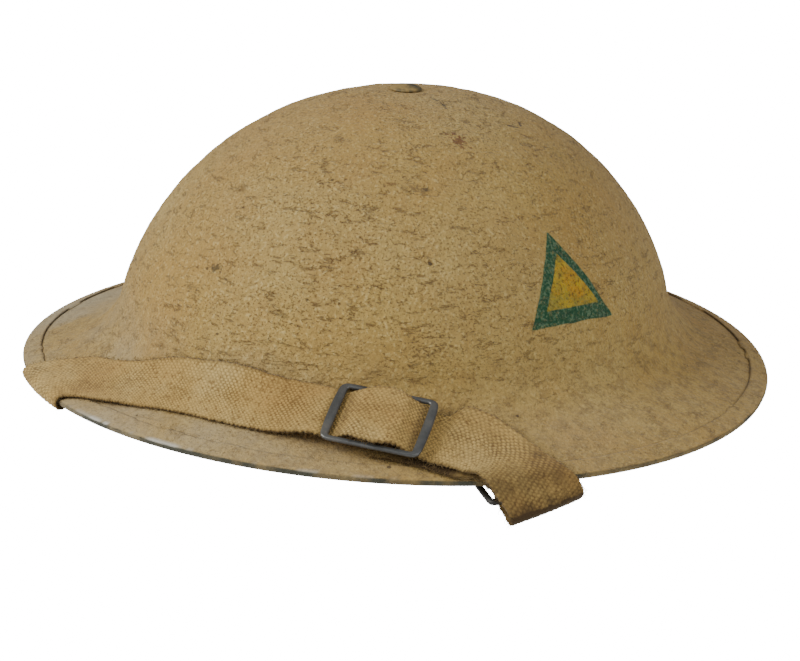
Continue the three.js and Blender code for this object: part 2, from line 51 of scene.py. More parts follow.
def addNode(tree, kind, *given, out=0, stops=(), links=(), **settings):
    # kind may end in an operation. Given values or sockets fill the inputs in order, links fill those they
    # number or name, and a setting is the node's own where it has one of that name, and an input's otherwise
    kind, _, operation = kind.partition(":")
    node = tree.nodes.new(kind if "Node" in kind else "ShaderNode" + kind)
    if operation:
        node.operation = operation
    values = {**dict(enumerate(given)), **dict(links)}
    for key, value in settings.items():
        if hasattr(node, key):
            setattr(node, key, value)
        else:
            values[key.replace("_", " ")] = value
    for target, value in values.items():
        if isinstance(value, bpy.types.NodeSocket):
            tree.links.new(value, node.inputs[target])
        else:
            node.inputs[target].default_value = value
    if stops:
        elements = node.color_ramp.elements
        while len(elements) < len(stops):
            elements.new(0.5)
        for element, (position, value) in zip(elements, stops):
            element.position = position
            element.color = linear(value) if isinstance(value, str) else (value, value, value, 1)
    return node.outputs if out is None else node.outputs[out]


def overlaid(tree, colour, layers):
    # each layer is a share and the colour that it lays over those before it
    for share, over in layers:
        over = linear(over) if isinstance(over, str) else over
        colour = addNode(tree, "Mix", share, links={6: colour, 7: over}, data_type="RGBA", out=2)
    return colour


def newMaterial(name):
    material = bpy.data.materials.new(name)
    material.use_nodes = True
    tree = material.node_tree
    shader = next(n for n in tree.nodes if n.type == "BSDF_PRINCIPLED")
    return material, tree, shader, partial(addNode, tree)


def finishMaterial(tree, shader, colour, height, strength, distance, **plain):
    # links the colour and a bump of the given depth in mm, and sets the shader's plain numbers
    tree.links.new(colour, shader.inputs["Base Color"])
    bump = addNode(tree, "Bump", Height=height, Strength=strength, Distance=distance * mm)
    tree.links.new(bump, shader.inputs["Normal"])
    for key, value in plain.items():
        shader.inputs[key.replace("_", " ")].default_value = value


def scaleFor(size):
    # a noise texture's scale for a coarsest feature of this width in mm
    return 0.5 / (size * mm)


def placed(name, data):
    item = bpy.data.objects.new(name, data)
    bpy.context.scene.collection.objects.link(item)
    return item


def readAll(items, field, width, kind=np.float64):
    values = np.empty(len(items) * width, dtype=kind)
    items.foreach_get(field, values)
    return values.reshape(-1, width)


def meshObject(name, vertices, faces, material, uv=None, smooth=True):
    mesh = bpy.data.meshes.new(name)
    mesh.from_pydata([tuple(v) for v in vertices], [], [tuple(f) for f in faces])
    mesh.update()
    if uv is not None:
        layer = mesh.uv_layers.new(name="along")
        loops = readAll(mesh.loops, "vertex_index", 1, np.int32)[:, 0]
        layer.data.foreach_set("uv", np.asarray(uv)[loops].astype(np.float32).ravel())
    mesh.shade_smooth() if smooth else mesh.shade_flat()
    mesh.materials.append(material)
    return placed(name, mesh)


def giveAttribute(item, name, values):
    layer = item.data.attributes.new(name, "FLOAT", "POINT")
    layer.data.foreach_set("value", np.asarray(values, dtype=np.float32))


def gridFaces(rows, columns, start=0, wrapRows=False, wrapColumns=False, flip=False):
    i = np.arange(rows if wrapRows else rows - 1)
    j = np.arange(columns if wrapColumns else columns - 1)
    a, b = np.meshgrid(i, j, indexing="ij")
    c, d = (a + 1) % rows, (b + 1) % columns
    faces = np.stack([a * columns + b, c * columns + b, c * columns + d, a * columns + d], -1).reshape(-1, 4)
    return (faces[:, ::-1] if flip else faces) + start


def normalsOf(grid, wrapRows=False):
    along = np.gradient(grid, axis=0)
    if wrapRows:
        along[0] = (grid[1] - grid[-1]) / 2
        along[-1] = (grid[0] - grid[-2]) / 2
    across = np.gradient(grid, axis=1)
    normal = np.cross(along, across)
    return normal / np.maximum(np.linalg.norm(normal, axis=-1, keepdims=True), 1e-12)


def noiseField(points, size, octaves=3, offset=0.0, stretch=(1, 1, 1)):
    # smooth noise at each point in mm, about -1 to 1, its coarsest feature of the given size
    shift = Vector((offset, offset * 1.7, offset * 0.3))
    scale = Vector(stretch) / size
    values = [noise.fractal(Vector(p) * scale + shift, 1.0, 2.0, octaves) for p in points.reshape(-1, 3)]
    return np.array(values).reshape(points.shape[:-1])


def smoothStep(values, low, high):
    share = np.clip((values - low) / (high - low), 0, 1)
    return share * share * (3 - 2 * share)


def dress(piece, node):
    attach(piece, "root")
    if node:
        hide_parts(node)


# the pressed form of the helmet, in mm, with +Z up and the middle of the head opening as origin
helmet = dict(
    rimHalfWidth=153.0, rimHalfLength=154.0, bowlHalfWidth=107.6, bowlHalfLength=121.0, bowlPlanPower=2.05,
    crownHeight=108.3, bowlCentreHeight=13.3, bowlRadialPower=2.16, bowlRisePower=1.71, brimSlope=19.6,
    saddleDip=1.86, flareRise=13.7, flareRun=16.0, wall=1.0, bindingBuild=0.8, bindingWidth=7.2,
    bindingSheet=0.5, clearance=0.3, holeRadius=2.7, mouthHeight=14.0,
)
brimRise = math.tan(math.radians(helmet["brimSlope"]))


def planRadius(turn, halfWidth, halfLength, power):
    across, along = np.abs(np.cos(turn)) / halfWidth, np.abs(np.sin(turn)) / halfLength
    return (across ** power + along ** power) ** (-1 / power)


def rimRadius(turn):
    build = helmet["bindingBuild"]
    return planRadius(turn, helmet["rimHalfWidth"] - build, helmet["rimHalfLength"] - build, 2)


def bowlRadius(turn):
    return planRadius(turn, helmet["bowlHalfWidth"], helmet["bowlHalfLength"], helmet["bowlPlanPower"])


def rimHeight(turn):
    return -helmet["bindingBuild"] - helmet["saddleDip"] * np.cos(2 * turn)


def bowlRise(turn, radius):
    share = np.minimum(radius / bowlRadius(turn), 1)
    angle = np.arcsin(share ** (helmet["bowlRadialPower"] / 2))
    low, high = helmet["bowlCentreHeight"], helmet["crownHeight"]
    return low + (high - low) * np.cos(angle) ** (2 / helmet["bowlRisePower"])


def flareOf(turn):
    rim = rimRadius(turn)
    foot = bowlRadius(turn) + helmet["flareRun"]
    footHeight = rimHeight(turn) + (rim - foot) * brimRise
    topHeight = rimHeight(turn) + (rim - bowlRadius(turn)) * brimRise + helmet["flareRise"]
    share = (topHeight - helmet["bowlCentreHeight"]) / (helmet["crownHeight"] - helmet["bowlCentreHeight"])
    angle = np.arccos(np.clip(share, 0, 1) ** (helmet["bowlRisePower"] / 2))
    top = bowlRadius(turn) * np.sin(angle) ** (2 / helmet["bowlRadialPower"])
    slope = (bowlRise(turn, top) - bowlRise(turn, top - 0.05)) / 0.05
    bend = (footHeight - topHeight + brimRise * foot + slope * top) / (slope + brimRise)
    return rim, foot, footHeight, top, topHeight, bend, footHeight - brimRise * (bend - foot)


def shellProfile(turn, domeSteps, flareSteps, brimSteps):
    # radius and height of the outer face, one column for each station from the crown hole to the rim
    rim, foot, footHeight, top, topHeight, bend, bendHeight = (v[:, None] for v in flareOf(turn))
    angle = turn[:, None]
    topAngle = np.arcsin((top / bowlRadius(angle)) ** (helmet["bowlRadialPower"] / 2))
    share = np.linspace(0, 1, domeSteps + 1)[None, :]
    dome = bowlRadius(angle) * np.sin(topAngle * share) ** (2 / helmet["bowlRadialPower"])
    dome = helmet["holeRadius"] + dome * (1 - helmet["holeRadius"] / top)
    domeHeight = bowlRise(angle, dome)
    share = np.linspace(0, 1, flareSteps + 1)[None, 1:]
    parts = ((1 - share) ** 2, 2 * share * (1 - share), share ** 2)
    flare = parts[0] * top + parts[1] * bend + parts[2] * foot
    flareHeight = parts[0] * topHeight + parts[1] * bendHeight + parts[2] * footHeight
    brim = foot + (rim - foot) * np.linspace(0, 1, brimSteps + 1)[None, 1:]
    brimHeight = rimHeight(angle) + (rim - brim) * brimRise
    radius = np.concatenate([dome, flare, brim], 1)
    height = np.concatenate([domeHeight, flareHeight, brimHeight], 1) - helmet["mouthHeight"]
    return radius, height


def polarGrid(turn, radius, height):
    return np.stack([radius * np.cos(turn[:, None]), radius * np.sin(turn[:, None]), height], -1)


# crest is the colour of a painted highlight on the grain, and rust the dark brown of painted shade in the
# brush wrinkles
paint = dict(
    sand="#b59652", sandLight="#c1a560", sandWarm="#b08b48", sandGrey="#b1a486", crest="#e0ca8c",
    pit="#574021", rust="#5f4524", dapple="#8c7040", speck="#3d3122", green="#1f4f34", greenWorn="#688366",
    yellow="#bea025", yellowGold="#c08f1c", yellowWorn="#8a8336",
    grain=0.62, streak=1.6, dappleSize=2.2, patch=55.0, tint=38.0, speckGap=7.5, roughness=0.82, bump=1.1,
)
# corners of the painted triangle and of its yellow middle, in mm on the bowl
triangle = dict(
    outer=[(83.9, -17.8, 54.8), (96.2, -41.9, 23.3), (103.3, 1.9, 21.5)],
    inner=[(89.4, -18.4, 47.2), (96.6, -33.3, 28.9), (101.2, -4.7, 27.8)],
    waver=0.8, waverSize=4.0, soft=0.45, blunt=1.4, behind=20.0,
)


def insideTriangle(add, place, corners, soft):
    # one plane through each side, square to the bowl; the least of the three distances is the depth inside
    a, b, c = (Vector(p) * mm for p in corners)
    facing = (c - a).cross(b - a).normalized()
    centre = (a + b + c) / 3
    if facing.dot(Vector((centre.x, centre.y, 0))) < 0:
        facing.negate()
    depth = None
    for start, end in ((a, b), (b, c), (c, a)):
        side = (end - start).cross(facing).normalized()
        if side.dot(centre - start) < 0:
            side.negate()
        reached = add("VectorMath:DOT_PRODUCT", place, side, out="Value")
        distance = add("Math:SUBTRACT", reached, side.dot(start))
        depth = distance if depth is None else add("Math:SMOOTH_MIN", depth, distance, triangle["blunt"] * mm)
    reached = add("VectorMath:DOT_PRODUCT", place, facing, out="Value")
    ahead = add("Math:SUBTRACT", reached, facing.dot(centre) - triangle["behind"] * mm)
    return add("Math:MULTIPLY_ADD", add("Math:MINIMUM", depth, ahead), 1 / (soft * mm), 0.5, use_clamp=True)


def spotMask(add, place, at, size, depth, length=1.0, along=(1, 0, 0), speckled=False):
    # a soft irregular spot round a point on the shell, drawn out along one direction
    centred = add("VectorMath:SUBTRACT", place, Vector(at) * mm)
    forwards = add("VectorMath:DOT_PRODUCT", centred, Vector(along).normalized(), out="Value")
    lengthSquared = add("VectorMath:DOT_PRODUCT", centred, centred, out="Value")
    forwardsSquared = add("Math:MULTIPLY", forwards, forwards)
    squeezed = add("Math:MULTIPLY_ADD", forwardsSquared, 1 / length ** 2 - 1, lengthSquared)
    distance = add("Math:SQRT", add("Math:MAXIMUM", squeezed, 0.0))
    ragged = add("TexNoise", place, Scale=scaleFor(size * 0.55), Detail=4.0, Roughness=0.7)
    edge = add("Math:MULTIPLY_ADD", ragged, size * 4.5 * mm, -size * 2.25 * mm)
    reach = add("Math:SUBTRACT", size * mm, add("Math:ADD", distance, edge))
    share = add("Math:MULTIPLY", reach, 2.2 / (size * mm), use_clamp=True)
    if speckled:
        speckles = add("TexNoise", place, Scale=scaleFor(0.9))
        share = add("Math:MULTIPLY", share, add("ValToRGB", speckles, stops=[(0.46, 0.0), (0.54, 1.0)]))
    return add("Math:MULTIPLY", share, depth)


def triangleOver(tree, add, colour, place, grain):
    # the two-colour triangle, brushed on by hand: its sides waver, and the crests of the grain show through
    waver = add("TexNoise", place, Scale=scaleFor(triangle["waverSize"]), Detail=3.0, out="Color")
    shift = add("VectorMath:SUBTRACT", waver, (0.5, 0.5, 0.5))
    shift = add("VectorMath:SCALE", shift, Scale=2 * triangle["waver"] * mm)
    wavered = add("VectorMath:ADD", place, shift)
    worn = add("TexNoise", place, Scale=scaleFor(5.0), Detail=5.0, Roughness=0.7)
    chips = add("Math:MULTIPLY", add("ValToRGB", grain, stops=[(0.52, 0.0), (0.62, 0.7)]),
                add("ValToRGB", worn, stops=[(0.4, 0.15), (0.6, 1.0)]))
    chalk = add("ValToRGB", add("TexNoise", place, Scale=scaleFor(0.55)), stops=[(0.5, 0.0), (0.62, 0.7)])
    gilt = add("TexNoise", place, Scale=scaleFor(3.2), Detail=4.0, Roughness=0.7)
    # the yellow is darkened in the grain's hollows with dirt and painted shade
    yellowHollowDirtAndShade = add("Math:MULTIPLY", add("ValToRGB", grain, stops=[(0.4, 1.0), (0.47, 0.0)]), 0.62)
    green = overlaid(tree, linear(paint["green"]), [(chalk, paint["greenWorn"])])
    yellow = overlaid(tree, linear(paint["yellow"]), [
        (add("ValToRGB", gilt, stops=[(0.46, 0.0), (0.58, 0.9)]), paint["yellowGold"]),
        (add("ValToRGB", worn, stops=[(0.44, 0.0), (0.56, 0.85)]), paint["yellowWorn"]),
        (yellowHollowDirtAndShade, paint["pit"])])
    outer, inner = (insideTriangle(add, wavered, triangle[k], triangle["soft"]) for k in ("outer", "inner"))
    cover = add("Math:MULTIPLY", outer, add("Math:SUBTRACT", 1.0, add("Math:MULTIPLY", chips, 0.35)))
    return overlaid(tree, colour, [(cover, overlaid(tree, green, [(inner, yellow)]))])


def sandPaintMaterial(name, withTriangle, withEdgeWear):
    # hand-brushed matt sand paint with grit in it, over factory paint on pressed steel: dull, stippled and
    # ridged by the brush, with pits that show dark, warmer and greyer clouds, dark specks of dirt, a painted
    # highlight on the crests of the grain, and painted shade in its hollows and wrinkles
    material, tree, shader, add = newMaterial(name)
    place = add("TexCoord", out="Object")
    height = add("SeparateXYZ", place, out=None)
    grain = add("TexNoise", place, Scale=scaleFor(paint["grain"]), Detail=3.0, Roughness=0.6)

    # fine wrinkles left by the brush, and where the paint is coarse: most on the bowl, less on one side
    brushed = add("Mapping", place, Rotation=(0.0, 0.22, 0.12), Scale=(0.3, 0.3, 1.0))
    streak = add("TexNoise", brushed, Scale=scaleFor(paint["streak"]), Detail=4.0, Roughness=0.62,
                 Distortion=0.35)
    ridge = add("Math:ABSOLUTE", add("Math:SUBTRACT", streak, 0.47))
    short = add("ValToRGB", add("TexNoise", brushed, Scale=scaleFor(1.1)), stops=[(0.5, 0.0), (0.57, 1.0)])
    wrinkle = add("Math:MULTIPLY", add("ValToRGB", ridge, stops=[(0.0, 1.0), (0.014, 0.8), (0.03, 0.0)]),
                  short)
    patch = add("TexNoise", place, Scale=scaleFor(paint["patch"]), Detail=3.0, Roughness=0.6)
    rough = add("ValToRGB", patch, stops=[(0.34, 0.65), (0.6, 1.0)])
    onBowl = add("MapRange", height[2], From_Min=-0.004, From_Max=0.022)
    onBrim = add("Math:SUBTRACT", 1.0, onBowl)
    towardsLeft = add("MapRange", height[0], From_Min=0.03, From_Max=0.11, To_Min=1.0, To_Max=0.8)
    coarse = add("Math:MULTIPLY", add("Math:MULTIPLY_ADD", onBowl, 0.4, 0.6),
                 add("Math:MULTIPLY", rough, towardsLeft))

    # pits in clusters, drawn out a little along the brush, and between them a painted highlight on the crests
    # of the grain and painted shade, with some dirt, in its hollows
    combed = add("Mapping", place, Rotation=(0.0, 0.5, 0.3), Scale=(0.7, 0.7, 1.0))
    cluster = add("TexNoise", place, Scale=scaleFor(9.0), Detail=3.0, Roughness=0.6)
    dots = add("TexNoise", combed, Scale=scaleFor(paint["grain"] * 0.55), Detail=1.0)
    dots = add("Math:MULTIPLY_ADD", cluster, -0.27, dots)
    pits = add("ValToRGB", dots, stops=[(0.0, 1.0), (0.24, 1.0), (0.265, 0.0)])
    crestHighlights = add("ValToRGB", grain, stops=[(0.56, 0.0), (0.64, 1.0)])
    hollowShadeAndDirt = add("ValToRGB", grain, stops=[(0.3, 1.0), (0.47, 0.0)])

    # clouds of warmer and greyer paint; on the brim the greyer, lighter paint is strongest towards the
    # wearer's right front, the side the key lamp faces, as painted light
    tint = add("TexNoise", place, Scale=scaleFor(paint["tint"]), Detail=5.0, Roughness=0.62)
    colour = add("ValToRGB", tint, stops=[(0.3, paint["sandWarm"]), (0.5, paint["sand"]),
                                          (0.7, paint["sandLight"])])
    mottle = add("TexNoise", place, Scale=scaleFor(7.0), Detail=4.0, Roughness=0.65)
    dapple = add("TexNoise", place, Scale=scaleFor(paint["dappleSize"]), Detail=4.0, Roughness=0.7)
    dappled = add("Math:MULTIPLY", add("ValToRGB", dapple, stops=[(0.45, 0.0), (0.62, 0.75)]),
                  add("Math:MULTIPLY_ADD", onBrim, 0.7, 0.3))
    turned = add("Mapping", place, Rotation=(0.3, 0.1, 0.7))
    cloud = add("TexNoise", turned, Scale=scaleFor(30.0), Detail=4.0, Roughness=0.6)
    aside = add("VectorMath:DOT_PRODUCT", place, (-0.79, -0.62, 0.0), out="Value")
    litBrimSide = add("MapRange", aside, From_Min=-0.01, From_Max=0.1, To_Min=0.1, To_Max=0.95)
    # on the brim this greyer, lighter share is painted light on the side the key lamp faces
    rubbed = add("Math:MULTIPLY", add("ValToRGB", cloud, stops=[(0.36, 0.2), (0.62, 1.0)]),
                 add("Math:MULTIPLY_ADD", add("Math:MULTIPLY", onBrim, litBrimSide), 0.85, 0.12))

    # round specks of dirt, in about one cell of four
    cells = add("TexVoronoi", place, Scale=1 / (paint["speckGap"] * mm), out=None)
    chosen = add("SeparateColor", cells["Color"])
    size = add("MapRange", chosen, From_Min=0.72, From_Max=1.0, To_Min=0.0, To_Max=0.13)
    specks = add("Math:MULTIPLY", add("Math:SUBTRACT", size, cells["Distance"]), 30.0, use_clamp=True)

    layers = [(add("ValToRGB", mottle, stops=[(0.42, 0.0), (0.75, 0.55)]), paint["sandWarm"]),
              (dappled, paint["dapple"]), (rubbed, paint["sandGrey"])]
    # the crests get a painted highlight, the hollows painted shade with some dirt, and the brush wrinkles
    # painted shade in their grooves, in the dark brown named rust
    for mask, depth, tone in ((crestHighlights, 0.5, "crest"), (hollowShadeAndDirt, 0.6, "dapple"), (wrinkle, 0.7, "rust"),
                              (pits, 0.6, "pit")):
        layers.append((add("Math:MULTIPLY", add("Math:MULTIPLY", mask, coarse), depth), paint[tone]))
    layers.append((add("Math:MULTIPLY", specks, 0.75), paint["speck"]))
    layers += [(spotMask(add, place, *spot), tone) for tone, *spot in blemishes]
    colour = overlaid(tree, colour, layers)
    if withTriangle:
        colour = triangleOver(tree, add, colour, place, grain)
    if withEdgeWear:
        # the open crack along the strip's inner edge is darkened as painted shade
        crackShade, dark, bright = (add("Attribute", attribute_name=k, out="Fac")
                               for k in ("crackShade", "dark", "bright"))
        colour = overlaid(tree, colour, [(add("Math:MULTIPLY", crackShade, 0.7), "#3a2b1a"), (dark, "#4b4a3e"),
                                         (bright, "#d8d4c8")])
        tree.links.new(add("Math:MULTIPLY", bright, 0.6), shader.inputs["Metallic"])

    relief = add("Math:MULTIPLY_ADD", dapple, 1.2, grain)
    relief = add("Math:SUBTRACT", relief, add("Math:MULTIPLY", wrinkle, 0.3))
    relief = add("Math:MULTIPLY", relief, add("Math:MULTIPLY_ADD", coarse, 0.75, 0.25))
    finishMaterial(tree, shader, colour, relief, 1.0, paint["bump"], Roughness=paint["roughness"],
                   Specular_IOR_Level=0.22, Sheen_Weight=0.12)
    return material


# scuffs and scratches that show on the bowl and the brim, in mm: colour, place, size, depth, and for some
# the length as a multiple of the size, its direction, and whether the spot is speckled
blemishes = [
    ("#6b4426", (44.0, -22.8, 84.1), 5.5, 0.85, 1, (1, 0, 0), True),
    ("#3f3a2a", (17.3, -2.9, 93.1), 0.7, 0.9, 4, (5.3, -0.2, -0.7)),
    ("#3f3a2a", (23.4, -5.3, 92.1), 0.8, 0.9, 5, (6.9, -4.6, -1.5)),
    ("#43352a", (45.4, 10.7, 85.0), 0.7, 0.85, 6, (3.3, 7.5, -2.0)),
    ("#43352a", (44.5, 17.6, 84.7), 0.7, 0.85, 4, (-4.0, 4.0, 1.2)),
    ("#4f452f", (-3.2, -106.3, 40.9), 2.2, 0.8),
    ("#3d3324", (51.7, -51.8, 71.2), 1.3, 0.8),
    ("#6d5a3c", (49.0, -54.5, 71.0), 1.6, 0.6, 5, (0.75, 0.6, 0.0)),
    ("#5d4126", (41.8, -60.0, 72.4), 1.4, 0.6, 2, (0.8, 0.6, 0.0)),
    ("#6b4a2c", (50.5, 10.0, 82.5), 0.8, 0.6, 3, (0.7, 0.7, -0.2)),
    ("#4b3a24", (8.2, -145.2, -9.1), 1.1, 0.85, 6, (1.0, 0.05, 0.0)),
    ("#7d6238", (12.0, -128.0, -2.0), 3.0, 0.5, 2, (0.9, 0.1, 0.0), True),
]
sandPaint = sandPaintMaterial("brushed sand paint on pressed steel", True, False)
rimPaint = sandPaintMaterial("sand paint worn off a steel rim strip", False, True)


def factoryPaintMaterial():
    # factory-sprayed dark green-brown enamel inside the shell: even, low sheen, fine orange peel, some rust
    material, tree, shader, add = newMaterial("factory green-brown enamel")
    place = add("TexCoord", out="Object")
    cloud = add("TexNoise", place, Scale=scaleFor(45.0), Detail=5.0, Roughness=0.6)
    colour = add("ValToRGB", cloud, stops=[(0.3, "#3e3d2a"), (0.55, "#4a4833"), (0.75, "#57523c")])
    rust = add("TexNoise", place, Scale=scaleFor(14.0), Detail=6.0, Roughness=0.7)
    colour = overlaid(tree, colour, [(add("ValToRGB", rust, stops=[(0.6, 0.0), (0.75, 0.7)]), "#5f4128")])
    tree.links.new(add("ValToRGB", rust, stops=[(0.4, 0.5), (0.8, 0.8)]), shader.inputs["Roughness"])
    finishMaterial(tree, shader, colour, add("TexNoise", place, Scale=scaleFor(2.0)), 0.5, 0.15)
    return material


def darkSteelMaterial():
    # blackened mild steel, handled for years: dark blue-grey, satin, bare and brighter on its corners
    material, tree, shader, add = newMaterial("blackened mild steel")
    place = add("TexCoord", out="Object")
    edge, grime = (add("Attribute", attribute_name=k, out="Fac") for k in ("edge", "grime"))
    cloud = add("TexNoise", place, Scale=scaleFor(5.0), Detail=5.0, Roughness=0.6)
    fine = add("TexNoise", place, Scale=scaleFor(1.2), Detail=4.0, Roughness=0.7)
    rust = add("TexNoise", place, Scale=scaleFor(4.0), Detail=5.0, Roughness=0.7)
    colour = add("ValToRGB", cloud, stops=[(0.3, "#4f5152"), (0.55, "#6a6c6d"), (0.75, "#827f79")])
    bare = add("Math:MULTIPLY", edge, add("ValToRGB", fine, stops=[(0.4, 0.0), (0.62, 1.0)]))
    rusted = add("ValToRGB", rust, stops=[(0.62, 0.0), (0.75, 0.6)])
    grimy = add("Math:MULTIPLY", grime, add("ValToRGB", cloud, stops=[(0.3, 1.0), (0.7, 0.6)]))
    colour = overlaid(tree, colour, [(bare, "#b3b1aa"), (rusted, "#5b4634"), (grimy, "#2b231a")])
    tree.links.new(add("ValToRGB", rust, stops=[(0.4, 0.42), (0.75, 0.66)]), shader.inputs["Roughness"])
    finishMaterial(tree, shader, colour, fine, 0.35, 0.12, Metallic=0.75)
    return material


def webbingMaterial():
    # khaki cotton webbing dusted with sand: dull, its hollows darkened with painted shade, soiled at its
    # edges, and at its folds soiled and darkened with painted shade
    material, tree, shader, add = newMaterial("woven cotton webbing")
    place = add("TexCoord", out="Object")
    weave, soilAndShade = (add("Attribute", attribute_name=k, out="Fac") for k in ("weave", "soilAndShade"))
    cloud = add("TexNoise", place, Scale=scaleFor(16.0), Detail=5.0, Roughness=0.6)
    colour = add("ValToRGB", cloud, stops=[(0.32, "#b79355"), (0.5, "#c4a462"), (0.7, "#cdb274")])
    worn = add("TexNoise", place, Scale=scaleFor(7.0), Detail=3.0)
    # the hollows of the weave are darkened as painted shade
    hollowShade = add("Math:MULTIPLY", add("ValToRGB", weave, stops=[(0.0, 1.0), (0.25, 0.6), (0.6, 0.0)]),
                 add("ValToRGB", worn, stops=[(0.35, 0.35), (0.65, 0.8)]))
    speck = add("TexNoise", place, Scale=scaleFor(0.7), Detail=3.0, Roughness=0.7)
    speck = add("ValToRGB", speck, stops=[(0.0, 0.8), (0.38, 0.6), (0.46, 0.0)])
    ragged = add("TexNoise", place, Scale=scaleFor(3.0), Detail=5.0, Roughness=0.7)
    # the edges are darkened with soil, and the fold and the return run also with painted shade
    ragged = add("Math:MULTIPLY", soilAndShade, add("ValToRGB", ragged, stops=[(0.3, 0.45), (0.58, 1.0)]))
    colour = overlaid(tree, colour, [(hollowShade, "#574022"), (speck, "#6a4f2b"), (ragged, "#4a3a26")])
    # spun threads about 0.3 mm thick, seen as fine lines across each float
    along = add("Mapping", add("UVMap", uv_map="along"), Scale=(1.0, 3.2, 1.0))
    thread = add("TexNoise", along, Scale=1100.0, Detail=2.0)
    finishMaterial(tree, shader, colour, thread, 0.6, 0.16, Roughness=0.95, Specular_IOR_Level=0.15,
                   Sheen_Weight=0.15)
    return material


factoryPaint = factoryPaintMaterial()
darkSteel = darkSteelMaterial()
webbing = webbingMaterial()
print("materials")


shellMesh = dict(turns=600, dome=88, flare=16, brim=26, innerDome=12, innerFlare=6, innerBrim=3,
                 relief=0.2, reliefSize=9.0, ridge=0.3, ridgeSize=5.0, dent=0.25, dentSize=70.0)
shellTurn = np.linspace(0, 2 * math.pi, shellMesh["turns"], endpoint=False)


def makeShell():
    s = shellMesh
    outer = polarGrid(shellTurn, *shellProfile(shellTurn, s["dome"], s["flare"], s["brim"]))
    outwards = -normalsOf(outer, True)
    if outwards[0, 20, 2] < 0:
        outwards = -outwards
    waves = noiseField(outer, s["reliefSize"], 2) * s["relief"]
    ridges = (0.5 - np.abs(noiseField(outer, s["ridgeSize"], 3, 4.2, (0.5, 0.5, 1.4)))) * s["ridge"]
    dents = noiseField(outer, s["dentSize"], 2, 9.1) * s["dent"]
    radius = np.hypot(outer[..., 0], outer[..., 1])
    # the relief fades out under the rim strip and round the crown screw
    strip = helmet["bindingWidth"]
    fade = smoothStep(rimRadius(shellTurn)[:, None] - radius, strip - 0.5, strip + 8)
    fade *= smoothStep(radius, 6.0, 12.0)
    outer = outer + outwards * ((waves + ridges + dents) * fade)[..., None]
    inner = polarGrid(shellTurn, *shellProfile(shellTurn, s["innerDome"], s["innerFlare"], s["innerBrim"]))
    down = -normalsOf(inner, True)
    if down[0, 5, 2] > 0:
        down = -down
    down[:, 0] = (0, 0, -1)
    inner = inner + down * helmet["wall"]
    inner[:, 0, :2] = outer[:, 0, :2]
    n, a, b = s["turns"], outer.shape[1], inner.shape[1]
    vertices = np.concatenate([outer.reshape(-1, 3), inner.reshape(-1, 3)]) * mm
    faces = [gridFaces(n, a, 0, True, flip=True), gridFaces(n, b, n * a, True)]
    i = np.arange(n)
    k = (i + 1) % n
    rimOuter, rimInner = i * a + a - 1, n * a + i * b + b - 1
    faces.append(np.stack([rimOuter, k * a + a - 1, n * a + k * b + b - 1, rimInner], -1)[:, ::-1])
    faces.append(np.stack([i * a, n * a + i * b, n * a + k * b, k * a], -1)[:, ::-1])
    piece = meshObject("helmetShell", vertices, np.concatenate(faces), sandPaint)
    piece.data.materials.append(factoryPaint)
    slots = np.zeros(len(piece.data.polygons), dtype=np.int32)
    slots[len(faces[0]):] = 1
    piece.data.polygons.foreach_set("material_index", slots)
    dress(piece, "shell")
    return piece


shell = makeShell()
print("shell", len(shell.data.polygons))


# places round the rim as (degrees from the wearer's left, degrees wide): where the strip's edge is still
# filled with paint, where it's rubbed to steel here and there, and where it's rubbed bright
binding = dict(turns=720, waver=0.22, waverSize=25.0, lumps=0.08, lumpSize=5.0, filletReach=1.1,
               crackSize=26.0, rubbedSize=9.0, wornSize=12.0,
               whole=(-30, 22), rubbed=(-85, 30), bright=[(-98.2, 1.3), (-84.8, 2.6), (-95.6, 0.5)])


def bandNoise(turn, size, offset):
    points = np.stack([150 * np.cos(turn), 150 * np.sin(turn), np.zeros_like(turn)], -1)
    return noiseField(points, size, 3, offset)


def nearTurn(turn, centre, width):
    away = np.abs(np.degrees(np.angle(np.exp(1j * (turn - math.radians(centre))))))
    return 1 - smoothStep(away, width * 0.7, width * 1.3)


